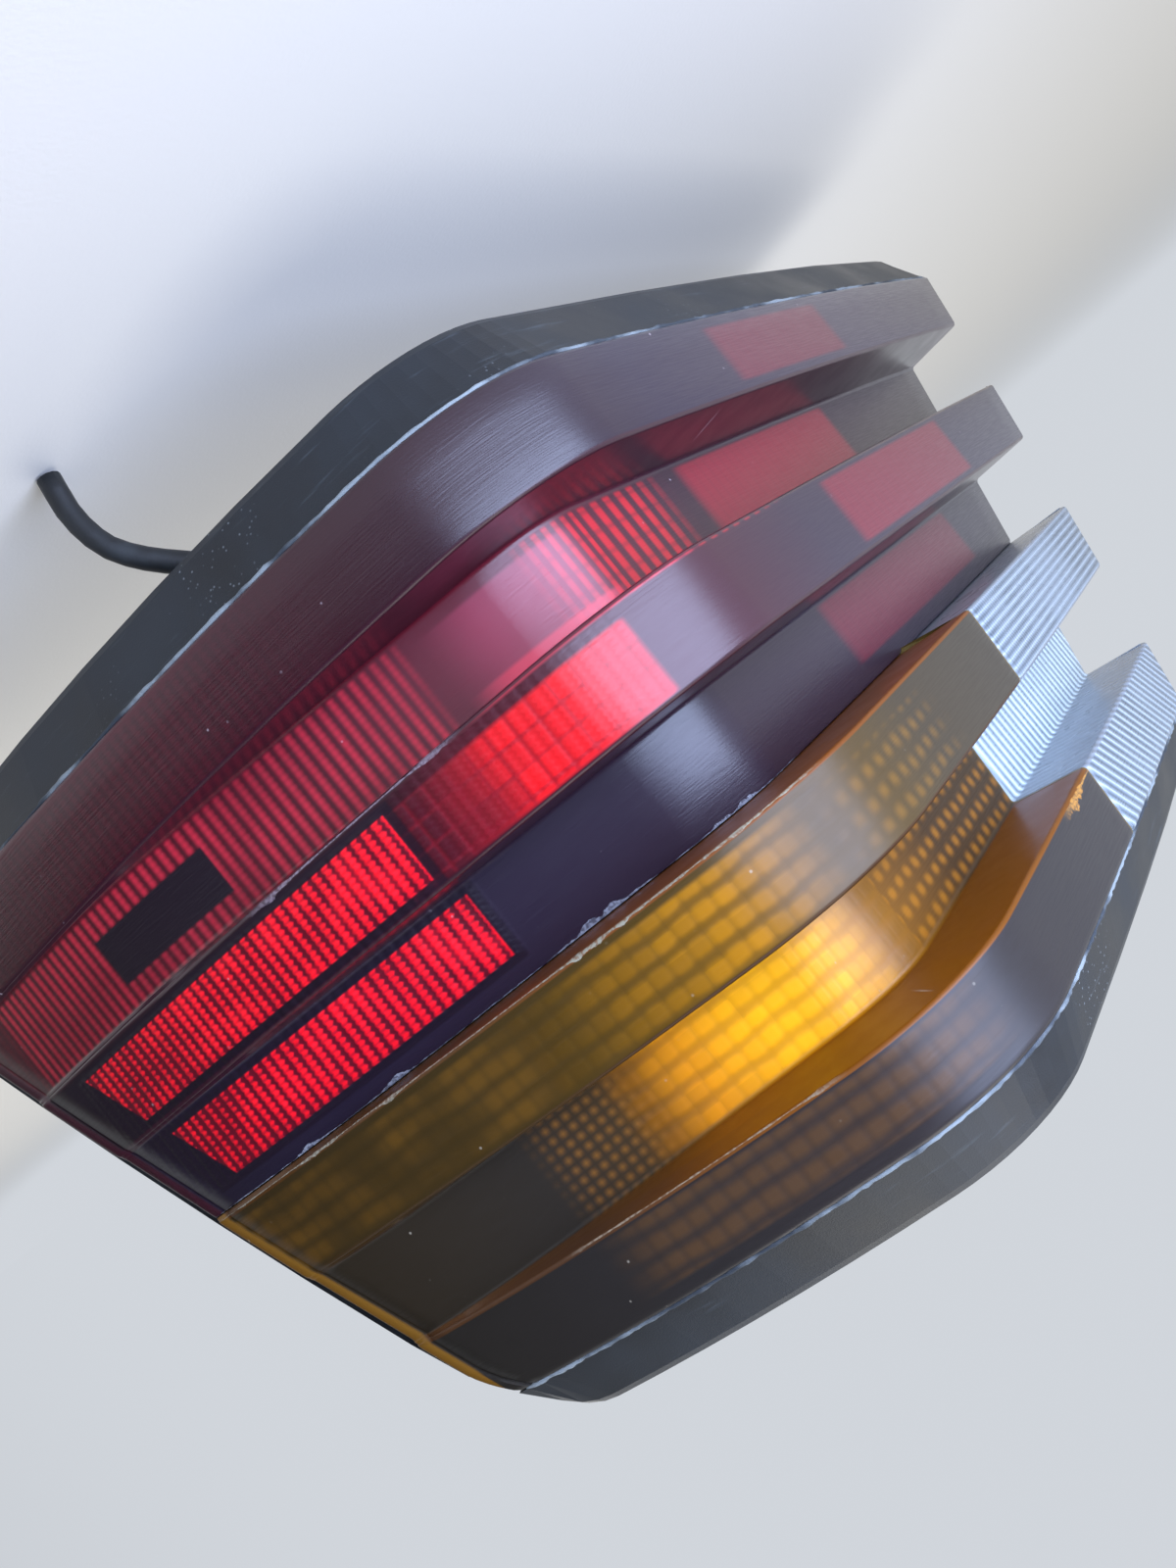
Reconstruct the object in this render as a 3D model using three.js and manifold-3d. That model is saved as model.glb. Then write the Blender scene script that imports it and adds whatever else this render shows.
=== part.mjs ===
// Rear corner lamp of a car, right-hand side, in millimetres.
// +X points to the side of the car, -Y to the rear, +Z up. The ribbed lens bends round the corner,
// a black tray holds it, and a plate with five bulbs slides out of the back of the tray.
import * as THREE from 'three';
import { mergeVertices } from 'three/addons/utils/BufferGeometryUtils.js';
import Module from 'manifold-3d';

const wasm = await Module();
wasm.setup();

// ---------------------------------------------------------------- driving dimensions

// Plan of the lens face, followed from the inner end, round the corner and along the side.
const INNER_LENGTH = 166; // rear face along its top edge, from the inner end to the bend
const INNER_SLANT = 0.6; // how much longer the rear face gets for each mm further down
const BEND_RADIUS = 48;
const BEND_ANGLE = 1.06;
const SIDE_LENGTH = 108; // side face along its top edge, from the bend to its end
const SIDE_SLANT = 0.56;
const REAR_RADIUS = 3300; // both faces are slightly bowed
const SIDE_RADIUS = 480;
const CORNER_ROUNDING = 10; // upper corner at the side end

// Lens: bands one above another, raised and sunk in turn, the lowest raised.
const BAND_HEIGHTS = [22.6, 25.8, 22.4, 26.2, 22.4, 25.6, 20];
const RIB_DEPTH = 21;
const RIB_DRAFT = 0.8;
const RIB_LEAST = 0.6; // what is left of the steps at the side end
const FADE_BEFORE = 16; // the steps start to flatten this far before the end of the bend
const FADE_LENGTH = 145;
const LENS_WALL = 2.4;
const LENS_TURN = 3.6; // the lens edges turn back into the tray this far past the deepest band
const COLOUR_JOINT = 72; // amber meets clear this far from the bend, at the top edge
const COLOUR_JOINT_SLANT = 0.12;

// Tray with its two bevelled rims.
const LENS_SEAL = 3; // the seal ring behind the lens edges
const TRAY_WALL = 2.6;
const TRAY_DEPTH = 72; // flat back behind the rear face
const SIDE_TRAY_ROOM = 1.1; // inside the side back, behind the seal on the lens edges
const FLAT_BACK_END = 24; // where the flat back stops, past the start of the bend
const SIDE_BACK_START = 54; // where the side back starts, past the end of the bend
const LOWER_RIM = 16.8;
const UPPER_RIM = 14.9;
const RIM_SETBACK = 8.6;
const RIM_LIP = 9.5;
const RIM_ROUNDING = 16; // each rim dies away over this length at its ends

// Bulb plate, its opening and its seals.
const PLATE_WIDTH = 146;
const PLATE_RIGHT = 2; // from the start of the bend
const PLATE_MARGIN = 9; // from the upper and lower lens edges
const PLATE_THICKNESS = 3;
const PLATE_SEAL = 3.4;
const OPENING_MARGIN = 8; // plate edge to opening edge
const PLATE_TRAVEL = 80;
// Bulb axes from the right edge of the plate, as shares of its width.
const UPPER_COLUMNS = { turn: 0.30137, reverse: 0.753425 };
const LOWER_COLUMNS = { tail: 0.246575, stop: 0.534247, fog: 0.821918 };

// Bulbs and their holders.
const GLASS_RADIUS = 12.5;
const GLASS_WALL = 0.8;
const GLASS_LENGTH = 25;
const CAP_RADIUS = 7.5;
const CAP_LENGTH = 16.5;
const HOLDER_WALL = 1.8;
const HOLDER_FLANGE = 12;
const BAYONET_TURN = 18; // degrees

// Reflectors, reflex plates, body seal, fasteners.
const REFLECTOR_WALL = 1.5;
const REFLECTOR_GAP = 1;
const REFLEX_THICKNESS = 2.2;
const REFLEX_GAP = 0.9; // behind the lens wall
const REFLEX_START = 41; // past the end of the bend
const REFLEX_END_MARGIN = 19;
const BODY_SEAL = 7.7;
const BODY_SEAL_WIDTH = 8;
const STUD_RADIUS = 3;
const STUD_LENGTH = 34;
const BOSS_RADIUS = 7;
const BOSS_HEIGHT = 8;
const LATCH_OPEN = 25; // degrees, the latches are drawn open
const LATCH_WIDTH = 12;
const CONNECTOR_WIDTH = 38;
const CONNECTOR_HEIGHT = 16;
const CONNECTOR_DEPTH = 16;
const CONNECTOR_WALL = 2;
const CONNECTOR_PINS = 6;

// Drain spout: its nipple stands under the side of the tray, and the rubber hangs from it.
const SPOUT_RADIUS = 2.7;
const SPOUT_BORE = 1.7;
const NIPPLE_LENGTH = 5;

// Clearances.
const GAP = 0.3; // between pieces that sit against each other
const LENS_GAP = 0.4; // between the lens edges and the tray walls
const RUNNING = 0.15; // round pins that turn

// ---------------------------------------------------------------- derived places

const edges = BAND_HEIGHTS.reduce((list, height) => [...list, list.at(-1) + height], [0]);
const lensTop = edges.at(-1);
const bendEnd = BEND_RADIUS * BEND_ANGLE;
const trayBottom = -LENS_GAP - TRAY_WALL;
const trayTop = lensTop + LENS_GAP + TRAY_WALL;
const amberBottom = edges[4]; // the step between the colours belongs to the upper lenses
const redTop = amberBottom - RIB_DRAFT - GAP;
const turnDepth = RIB_DEPTH + LENS_WALL + LENS_TURN;
const sealFront = turnDepth + GAP;
const sealBack = sealFront + LENS_SEAL;
const sideTrayDepth = sealBack + SIDE_TRAY_ROOM + TRAY_WALL;
const plateFront = TRAY_DEPTH + PLATE_SEAL + 2 * GAP;
const plateBack = plateFront + PLATE_THICKNESS;
const plateRight = -PLATE_RIGHT;
const plateLeft = plateRight - PLATE_WIDTH;
const plateBottom = PLATE_MARGIN;
const plateTop = lensTop - PLATE_MARGIN;
const opening = {
  left: plateLeft + OPENING_MARGIN,
  right: plateRight - OPENING_MARGIN,
  bottom: plateBottom + OPENING_MARGIN,
  top: plateTop - OPENING_MARGIN,
};
const seatY = TRAY_DEPTH + GAP + BODY_SEAL;
const bossY = TRAY_DEPTH + BOSS_HEIGHT;
const upperRow = (edges[4] + lensTop) / 2 - 2;
const lowerRow = edges[4] / 2;
const holderBore = CAP_RADIUS + GAP;
const holderRadius = holderBore + HOLDER_WALL;
const capFront = plateFront - CAP_LENGTH * 0.7;

const innerEnd = (z) => -(INNER_LENGTH + INNER_SLANT * (lensTop - z));
const bendStartAt = () => 0;
const bendEndAt = () => bendEnd;
const colourJoint = (z) => -(COLOUR_JOINT + COLOUR_JOINT_SLANT * (lensTop - z));
const sideEnd = (z) => {
  const into = THREE.MathUtils.clamp(z - (lensTop - CORNER_ROUNDING), 0, CORNER_ROUNDING);
  return bendEnd + SIDE_LENGTH + SIDE_SLANT * (lensTop - z) - into ** 2 / (2 * CORNER_ROUNDING);
};

// ---------------------------------------------------------------- plan curve and lofts

function arcStep(from, radius, length) {
  const turned = from.angle + length / radius;
  return {
    x: from.x + radius * (Math.sin(turned) - Math.sin(from.angle)),
    y: from.y - radius * (Math.cos(turned) - Math.cos(from.angle)),
    angle: turned,
  };
}

function planPoint(s) {
  const start = { x: 0, y: 0, angle: 0 };
  if (s < 0) {
    return arcStep(start, REAR_RADIUS, s);
  }
  if (s <= bendEnd) {
    return arcStep(start, BEND_RADIUS, s);
  }
  return arcStep(arcStep(start, BEND_RADIUS, bendEnd), SIDE_RADIUS, s - bendEnd);
}

// A point this far behind the raised lens face.
function behindFace(s, depth, z) {
  const plan = planPoint(s);
  return new THREE.Vector3(
    plan.x - depth * Math.sin(plan.angle), plan.y + depth * Math.cos(plan.angle), z);
}

// The back of the tray: flat behind the rear face, then a set depth behind the side face.
function backPoint(s, z) {
  const sideStart = bendEnd + SIDE_BACK_START;
  if (s >= sideStart) {
    return behindFace(s, sideTrayDepth, z);
  }
  if (s <= 0) {
    return new THREE.Vector3(planPoint(s).x, TRAY_DEPTH, z);
  }
  if (s <= bendEnd) {
    return new THREE.Vector3(FLAT_BACK_END * s / bendEnd, TRAY_DEPTH, z);
  }
  const corner = new THREE.Vector3(FLAT_BACK_END, TRAY_DEPTH, z);
  return corner.lerp(behindFace(sideStart, sideTrayDepth, z), (s - bendEnd) / SIDE_BACK_START);
}

// A point this far in front of the back of the tray.
function beforeBack(s, distance, z) {
  const back = backPoint(s, z);
  const towards = behindFace(s, turnDepth, z).sub(back).normalize();
  return back.addScaledVector(towards, distance);
}

function ribDepth(s) {
  const t = THREE.MathUtils.smoothstep(s, bendEnd - FADE_BEFORE, bendEnd - FADE_BEFORE + FADE_LENGTH);
  return RIB_DEPTH + (RIB_LEAST - RIB_DEPTH) * t;
}

// Section points: on the face side (depth behind the face) or on the back side (distance from the back).
const value = (size, s) => (typeof size === 'function' ? size(s) : size);
const face = (depth, z) => ({
  z,
  flat: (s) => [value(depth, s), z],
  at: (s) => behindFace(s, value(depth, s), z),
});
const back = (distance, z) => ({
  z,
  flat: () => [200 - distance, z],
  at: (s) => beforeBack(s, distance, z),
});

// Stations between two ends, each of which may slant with z.
function span(from, to, steps) {
  return Array.from({ length: steps + 1 }, (_, i) => (z) => from(z) + (to(z) - from(z)) * i / steps);
}

function chain(...spans) {
  return spans.flatMap((list, i) => (i === 0 ? list : list.slice(1)));
}

const shifted = (end, by) => (z) => end(z) + by;

// Closed skin through rings of points. Open runs are capped with the given triangles.
function skin(rings, capStart, capEnd) {
  const count = rings[0].length;
  const positions = rings.flat().flatMap((p) => [p.x, p.y, p.z]);
  const index = [];
  const runs = capStart ? rings.length - 1 : rings.length;
  for (let i = 0; i < runs; i += 1) {
    const a = i * count;
    const b = ((i + 1) % rings.length) * count;
    for (let j = 0; j < count; j += 1) {
      const k = (j + 1) % count;
      index.push(a + j, b + j, b + k, a + j, b + k, a + k);
    }
  }
  if (capStart) {
    const last = (rings.length - 1) * count;
    capStart.forEach(([p, q, r]) => index.push(p, q, r));
    capEnd.forEach(([p, q, r]) => index.push(last + r, last + q, last + p));
  }
  const geometry = new THREE.BufferGeometry();
  geometry.setAttribute('position', new THREE.Float32BufferAttribute(positions, 3));
  geometry.setIndex(index);
  return facingOut(geometry);
}

function volume(geometry) {
  const p = geometry.attributes.position;
  const index = geometry.index;
  const [a, b, c] = [new THREE.Vector3(), new THREE.Vector3(), new THREE.Vector3()];
  let total = 0;
  for (let i = 0; i < index.count; i += 3) {
    a.fromBufferAttribute(p, index.getX(i));
    b.fromBufferAttribute(p, index.getX(i + 1));
    c.fromBufferAttribute(p, index.getX(i + 2));
    total += a.dot(b.cross(c)) / 6;
  }
  return total;
}

function facingOut(geometry) {
  if (volume(geometry) < 0) {
    geometry.index.array.reverse();
  }
  return geometry;
}

// One section of the lamp carried along the plan curve.
function loft(section, stations) {
  const rings = stations.map((station) => section.map((point) => point.at(station(point.z))));
  const cap = (station) => {
    const outline = section.map((point) => new THREE.Vector2(...point.flat(station(point.z))));
    return THREE.ShapeUtils.triangulateShape(outline, []).map((t) => sameTurn(t, outline));
  };
  return skin(rings, cap(stations[0]), cap(stations.at(-1)));
}

// A tall section, up one side and down the other at the same heights, capped in level strips,
// so that its ends follow the slant and the bow of the plan curve.
function tallLoft(up, down, stations) {
  const section = [...up, ...down];
  const rings = stations.map((station) => section.map((point) => point.at(station(point.z))));
  const last = section.length - 1;
  const strips = up.slice(1).flatMap((_, i) => [[i, i + 1, last - i - 1], [i, last - i - 1, last - i]]);
  return skin(rings, strips, strips);
}

const reversed = ([p, q, r]) => [r, q, p];

function sameTurn(triangle, outline) {
  const [p, q, r] = triangle.map((i) => outline[i]);
  const turn = (q.x - p.x) * (r.y - p.y) - (q.y - p.y) * (r.x - p.x);
  const whole = THREE.ShapeUtils.area(outline);
  return turn * whole < 0 ? reversed(triangle) : triangle;
}

// ---------------------------------------------------------------- joining and cutting

function solid(geometry) {
  const bare = geometry.clone();
  bare.deleteAttribute('normal');
  bare.deleteAttribute('uv');
  const merged = mergeVertices(bare, 1e-4);
  const corners = [...merged.index.array];
  const real = corners.flatMap((_, i) => {
    const [p, q, r] = corners.slice(i, i + 3);
    return i % 3 === 0 && p !== q && q !== r && r !== p ? [p, q, r] : [];
  });
  return new wasm.Manifold(new wasm.Mesh({
    numProp: 3,
    vertProperties: new Float32Array(merged.attributes.position.array),
    triVerts: new Uint32Array(real),
  }));
}

function shape(manifold) {
  const mesh = manifold.getMesh();
  const geometry = new THREE.BufferGeometry();
  geometry.setAttribute('position', new THREE.Float32BufferAttribute(mesh.vertProperties, 3));
  geometry.setIndex([...mesh.triVerts]);
  return geometry;
}

// Hairline pockets where two curved walls meet are filled: their skins enclose a negative volume.
function filled(manifold) {
  const outer = manifold.decompose().filter((body) => body.volume() > 0);
  return outer.reduce((all, next) => all.add(next));
}

function joined(...geometries) {
  return shape(filled(geometries.map(solid).reduce((all, next) => all.add(next))));
}

function cut(body, ...tools) {
  return shape(tools.map(solid).reduce((left, tool) => left.subtract(tool), solid(body)));
}

// ---------------------------------------------------------------- plain shapes

function box(x0, x1, y0, y1, z0, z1) {
  const geometry = new THREE.BoxGeometry(x1 - x0, y1 - y0, z1 - z0);
  return geometry.translate((x0 + x1) / 2, (y0 + y1) / 2, (z0 + z1) / 2);
}

// An outline in x and z, thickened along Y.
function plateAlongY(outline, y0, y1) {
  const geometry = new THREE.ExtrudeGeometry(outline, { depth: y1 - y0, bevelEnabled: false });
  return geometry.rotateX(Math.PI / 2).translate(0, y1, 0);
}

// An outline in x and y, thickened along Z.
function plateAlongZ(outline, z0, z1) {
  const geometry = new THREE.ExtrudeGeometry(outline, { depth: z1 - z0, bevelEnabled: false });
  return geometry.translate(0, 0, z0);
}

// A lathe about an axis along Y: the profile is a list of [radius, y].
function turned(profile, x, z, sides = 24) {
  const points = profile.map(([radius, y]) => new THREE.Vector2(radius, y));
  return facingOut(new THREE.LatheGeometry(points, sides)).translate(x, 0, z);
}

function rod(radius, x, z, y0, y1, sides = 24) {
  return turned([[0, y0], [radius, y0], [radius, y1], [0, y1]], x, z, sides);
}

function rectangle(left, right, bottom, top) {
  const outline = new THREE.Shape();
  outline.moveTo(left, bottom);
  outline.lineTo(right, bottom);
  outline.lineTo(right, top);
  outline.lineTo(left, top);
  outline.closePath();
  return outline;
}

function polygon(points) {
  return new THREE.Shape(points.map(([x, y]) => new THREE.Vector2(x, y)));
}

function circle(radius, sides) {
  return polygon(Array.from({ length: sides }, (_, i) => {
    const turn = 2 * Math.PI * i / sides;
    return [radius * Math.cos(turn), radius * Math.sin(turn)];
  }));
}

function withHole(outline, hole) {
  outline.holes.push(new THREE.Path(hole.getPoints()));
  return outline;
}

// ---------------------------------------------------------------- the assembly

const lamp = new THREE.Group();
const palette = {
  red: [0x8a0f14, 0.15, 0],
  amber: [0xc8760f, 0.15, 0],
  clear: [0xc9d2d6, 0.12, 0],
  black: [0x23262b, 0.5, 0],
  rubber: [0x17181a, 0.8, 0],
  foam: [0x2b2c2e, 0.95, 0],
  white: [0xe9e9e6, 0.4, 0],
  grey: [0x7c8085, 0.5, 0],
  brass: [0xb8964a, 0.35, 1],
  steel: [0xa9adb0, 0.35, 1],
  glass: [0xdfe6e8, 0.05, 0],
  amberGlass: [0xd98a1c, 0.05, 0],
};

function add(name, geometry, finish, parent = lamp) {
  const [color, roughness, metalness] = palette[finish];
  const mesh = new THREE.Mesh(geometry, new THREE.MeshStandardMaterial({ color, roughness, metalness }));
  mesh.name = name;
  parent.add(mesh);
  return mesh;
}

// ---- lens: three colours, each a thin shell with closed ends

const rise = (s) => ribDepth(s);
const innerRise = (s) => ribDepth(s) + LENS_WALL;
const roundedTop = [0.25, 0.6, 0.85, 1].map((share) => lensTop - CORNER_ROUNDING * (1 - share));

// Points up or down a tall wall, with enough of them to follow the slanted, curved ends.
const levels = [...edges.slice(1, 7), ...roundedTop.slice(0, 3)];
function upright(kind, distance, from, to) {
  const between = levels.filter((z) => (z - from) * (z - to) < 0);
  const run = to > from ? between : between.toReversed();
  return [from, ...run, to].map((z) => kind(distance, z));
}

function redOutside() {
  return [
    face(0, 0), face(0, edges[1]), face(rise, edges[1] + RIB_DRAFT), face(rise, edges[2] - RIB_DRAFT),
    face(0, edges[2]), face(0, edges[3]), face(rise, edges[3] + RIB_DRAFT),
    face(rise, redTop),
  ];
}

function redInside() {
  const inset = LENS_WALL - RIB_DRAFT;
  return [
    face(innerRise, redTop), face(innerRise, edges[3] - inset), face(LENS_WALL, edges[3] - LENS_WALL),
    face(LENS_WALL, edges[2] + LENS_WALL), face(innerRise, edges[2] + inset),
    face(innerRise, edges[1] - inset), face(LENS_WALL, edges[1] - LENS_WALL),
    face(LENS_WALL, LENS_WALL), face(turnDepth, LENS_WALL), face(turnDepth, 0),
  ];
}

function upperOutside() {
  return [
    face(rise, amberBottom - RIB_DRAFT), face(0, amberBottom), face(0, edges[5]),
    face(rise, edges[5] + RIB_DRAFT),
    face(rise, edges[6] - RIB_DRAFT), face(0, edges[6]), ...roundedTop.map((z) => face(0, z)),
  ];
}

function upperInside() {
  const inset = LENS_WALL - RIB_DRAFT;
  return [
    face(turnDepth, lensTop), face(turnDepth, lensTop - LENS_WALL),
    ...upright(face, LENS_WALL, lensTop - LENS_WALL, edges[6] + LENS_WALL), face(innerRise, edges[6] + inset),
    face(innerRise, edges[5] - inset), face(LENS_WALL, edges[5] - LENS_WALL),
    face(LENS_WALL, amberBottom + LENS_WALL), face(innerRise, amberBottom + inset),
    face(innerRise, amberBottom - RIB_DRAFT),
  ];
}

function endPlate(outside, stations) {
  return tallLoft(outside, outside.toReversed().map(({ z }) => face(turnDepth, z)), stations);
}

const rearStations = span(shifted(innerEnd, LENS_WALL / 2), bendStartAt, 5);
const bendStations = span(bendStartAt, bendEndAt, 10);
const sideStations = span(bendEndAt, shifted(sideEnd, -LENS_WALL / 2), 8);
const innerPlate = span(innerEnd, shifted(innerEnd, LENS_WALL), 1);
const sidePlate = span(shifted(sideEnd, -LENS_WALL), sideEnd, 1);

add('lens_red', joined(
  loft([...redOutside(), ...redInside()], chain(rearStations, bendStations, sideStations)),
  endPlate(redOutside(), innerPlate),
  endPlate(redOutside(), sidePlate),
), 'red');

add('lens_amber', joined(
  loft([...upperOutside(), ...upperInside()],
    chain(span(shifted(colourJoint, GAP / 2), bendStartAt, 3), bendStations, sideStations)),
  endPlate(upperOutside(), sidePlate),
), 'amber');

add('lens_clear', joined(
  loft([...upperOutside(), ...upperInside()],
    span(shifted(innerEnd, LENS_WALL / 2), shifted(colourJoint, -GAP / 2), 4)),
  endPlate(upperOutside(), innerPlate),
), 'clear');

// ---- reflex plates behind the two lower raised and sunk side bands

function reflexPlate(depth, bottom, top) {
  const front = (s) => value(depth, s) + REFLEX_GAP;
  const rear = (s) => value(depth, s) + REFLEX_GAP + REFLEX_THICKNESS;
  const section = [face(front, bottom), face(front, top), face(rear, top), face(rear, bottom)];
  const from = () => bendEnd + REFLEX_START;
  return loft(section, span(from, shifted(sideEnd, -REFLEX_END_MARGIN), 8));
}

const reflexInset = LENS_WALL + 2 * GAP;
add('reflex_plate_upper', reflexPlate(innerRise, edges[3] + reflexInset, edges[4] - 2 * reflexInset), 'red');
add('reflex_plate_lower', reflexPlate(LENS_WALL, edges[2] + reflexInset, edges[3] - reflexInset), 'red');

// ---- seal ring behind the lens edges

const whole = chain(rearStations, bendStations, sideStations);

function sealStrip(z0, z1, stations) {
  return loft([face(sealFront, z0), face(sealFront, z1), face(sealBack, z1), face(sealBack, z0)], stations);
}

const sealEnd = [upright(face, sealFront, 0, lensTop), upright(face, sealBack, lensTop, 0)];
add('lens_seal', joined(
  sealStrip(0, LENS_WALL, whole),
  sealStrip(lensTop - LENS_WALL, lensTop, whole),
  tallLoft(...sealEnd, innerPlate),
  tallLoft(...sealEnd, sidePlate),
), 'rubber');

// ---- tray with rims

const trayInner = shifted(innerEnd, -LENS_GAP - TRAY_WALL);
const traySide = shifted(sideEnd, LENS_GAP + TRAY_WALL);

// The rims reach out in full except near their ends, where they die away in a quarter round.
function rimShare(s, z) {
  const nearest = Math.min(s - trayInner(z), traySide(z) - s);
  const t = THREE.MathUtils.clamp(nearest / RIM_ROUNDING, 0, 1);
  return 0.12 + 0.88 * Math.sqrt(1 - (1 - t) ** 2);
}

// A rim point: out from the lens edge by a share of the rim's reach.
function rimPoint(depth, edge, outward) {
  const height = (s) => edge + outward * rimShare(s, edge);
  return { z: edge, flat: (s) => [depth, height(s)], at: (s) => behindFace(s, depth, height(s)) };
}

function rimmedSection() {
  const low = -LENS_GAP;
  const high = lensTop + LENS_GAP;
  const lip = RIM_SETBACK + RIM_LIP;
  return [
    face(1.2, low), rimPoint(RIM_SETBACK - 1.4, low, -LOWER_RIM + 2.4),
    rimPoint(RIM_SETBACK, low, -LOWER_RIM + 0.7),
    rimPoint(RIM_SETBACK + 1.8, low, -LOWER_RIM), rimPoint(lip, low, -LOWER_RIM),
    rimPoint(lip, low, -LOWER_RIM + TRAY_WALL), rimPoint(RIM_SETBACK + 3, low, -LOWER_RIM + TRAY_WALL),
    face(5, trayBottom), ...upright(back, 0, trayBottom, trayTop), face(5, trayTop),
    rimPoint(RIM_SETBACK + 3, high, UPPER_RIM - TRAY_WALL), rimPoint(lip, high, UPPER_RIM - TRAY_WALL),
    rimPoint(lip, high, UPPER_RIM), rimPoint(RIM_SETBACK + 1.8, high, UPPER_RIM),
    rimPoint(RIM_SETBACK, high, UPPER_RIM - 0.7), rimPoint(RIM_SETBACK - 1.4, high, UPPER_RIM - 2.4),
    face(1.2, high), ...upright(back, TRAY_WALL, high, low),
  ];
}

function endWall(stations) {
  const front = (s) => ribDepth(s) + 1.5;
  return tallLoft(upright(face, front, trayBottom, trayTop), upright(back, 0, trayTop, trayBottom), stations);
}

const bosses = [
  [FLAT_BACK_END / 3 - 0.5, 30], [FLAT_BACK_END / 3 - 0.5, lensTop - 30],
  [innerEnd(lensTop - 30) + 22, lensTop - 30], [innerEnd(30) + 46, 30],
];
const latchHeights = [50, lensTop - 60];
const latchPivot = { x: plateLeft - 9, y: plateBack + 5 };
const spoutTop = behindFace(bendEnd + 42, 24, trayBottom);

function catchPost(z) {
  const { x } = latchPivot;
  const outline = polygon([
    [x - 13, TRAY_DEPTH - 1], [x - 10, TRAY_DEPTH - 1], [x - 10, TRAY_DEPTH + 5],
    [x - 5, TRAY_DEPTH + 5], [x - 5, TRAY_DEPTH + 7.5], [x - 13, TRAY_DEPTH + 7.5],
  ]);
  return plateAlongZ(outline, z - LATCH_WIDTH / 2, z + LATCH_WIDTH / 2);
}

const trayStations = chain(
  [0.08, 0.25, 0.5, 0.75].map((t) => shifted(trayInner, RIM_ROUNDING * t)),
  span(shifted(trayInner, RIM_ROUNDING), bendStartAt, 4), bendStations,
  span(bendEndAt, shifted(traySide, -RIM_ROUNDING), 7),
  [0, 0.25, 0.5, 0.75, 0.92].map((t) => shifted(traySide, -RIM_ROUNDING * (1 - t))),
);
const trayRuns = trayStations.filter((station, i) => i === 0 || station(0) - trayStations[i - 1](0) > 0.01);

const studDepth = 7;
const nipple = new THREE.CylinderGeometry(SPOUT_BORE - GAP, SPOUT_BORE - GAP, NIPPLE_LENGTH + 1, 12)
  .rotateX(Math.PI / 2)
  .translate(spoutTop.x, spoutTop.y, trayBottom + 1 - (NIPPLE_LENGTH + 1) / 2);
const ventX = plateLeft - 36;
const ventZ = (latchHeights[0] + latchHeights[1]) / 2;

add('housing', cut(
  joined(
    loft(rimmedSection(), trayRuns),
    endWall(span(trayInner, shifted(innerEnd, -LENS_GAP), 1)),
    endWall(span(shifted(sideEnd, LENS_GAP), traySide, 1)),
    ...bosses.map(([x, z]) => rod(BOSS_RADIUS, x, z, TRAY_DEPTH - studDepth - TRAY_WALL, bossY)),
    ...latchHeights.map(catchPost),
    rod(5, ventX, ventZ, TRAY_DEPTH - 1, TRAY_DEPTH + 5),
    nipple,
  ),
  plateAlongY(
    rectangle(opening.left, opening.right, opening.bottom, opening.top), TRAY_DEPTH - 10, TRAY_DEPTH + 1),
  ...bosses.map(([x, z]) => rod(STUD_RADIUS + RUNNING, x, z, TRAY_DEPTH - studDepth, bossY + 1)),
  rod(2.2, ventX, ventZ, TRAY_DEPTH - 10, TRAY_DEPTH + 6),
), 'black');

add('vent_cap', turned([
  [0, TRAY_DEPTH + 5 + GAP], [5 + GAP, TRAY_DEPTH + 5 + GAP], [5 + GAP, TRAY_DEPTH + 1.5],
  [8, TRAY_DEPTH + 1.5], [8.5, TRAY_DEPTH + 3], [8, TRAY_DEPTH + 8],
  [6, TRAY_DEPTH + 9.5], [0, TRAY_DEPTH + 10],
], ventX, ventZ, 20), 'rubber');

// ---- drain spout: a short moulded rubber tube

const spoutRoute = [
  [0, 0, 0], [0, 0, -3], [0, 0, -6], [1.6, 1.4, -11], [6.2, 5.5, -17.2], [10.4, 10, -23.4],
  [13.8, 13.6, -30.8], [15.2, 14.8, -40.4], [14.5, 13.8, -50.5],
].map(([x, y, z]) => new THREE.Vector3(spoutTop.x + x, spoutTop.y + y, trayBottom - GAP + z));

add('drain_spout', new THREE.ExtrudeGeometry(withHole(circle(SPOUT_RADIUS, 12), circle(SPOUT_BORE, 12)), {
  extrudePath: new THREE.CatmullRomCurve3(spoutRoute),
  steps: 14,
  bevelEnabled: false,
}), 'rubber');

// ---- body seal round the back, with a slanted inner run

const sealOutline = (inset) => polygon([
  [innerEnd(0) + inset + 2, inset], [FLAT_BACK_END - 1 - inset, inset],
  [FLAT_BACK_END - 1 - inset, lensTop - inset], [innerEnd(lensTop - inset) + inset + 2, lensTop - inset],
]);
add('body_seal', plateAlongY(withHole(sealOutline(0), sealOutline(BODY_SEAL_WIDTH)),
  TRAY_DEPTH + GAP, seatY), 'foam');

// ---- studs, washers and nuts

bosses.forEach(([x, z], i) => {
  const studFoot = TRAY_DEPTH - studDepth;
  const bore = STUD_RADIUS + GAP;
  const washerFront = bossY + GAP;
  const washerBack = washerFront + 1.2;
  const nutFront = washerBack + GAP;
  add(`stud_${i + 1}`, rod(STUD_RADIUS, x, z, studFoot + GAP, studFoot + STUD_LENGTH, 14), 'steel');
  add(`washer_${i + 1}`, turned([
    [bore, washerFront], [8.5, washerFront], [8.5, washerBack], [bore, washerBack], [bore, washerFront],
  ], x, z, 16), 'steel');
  const nut = plateAlongY(withHole(circle(6.2, 6), circle(bore, 16)), nutFront, nutFront + 6);
  add(`nut_${i + 1}`, nut.translate(x, 0, z), 'steel');
});

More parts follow.
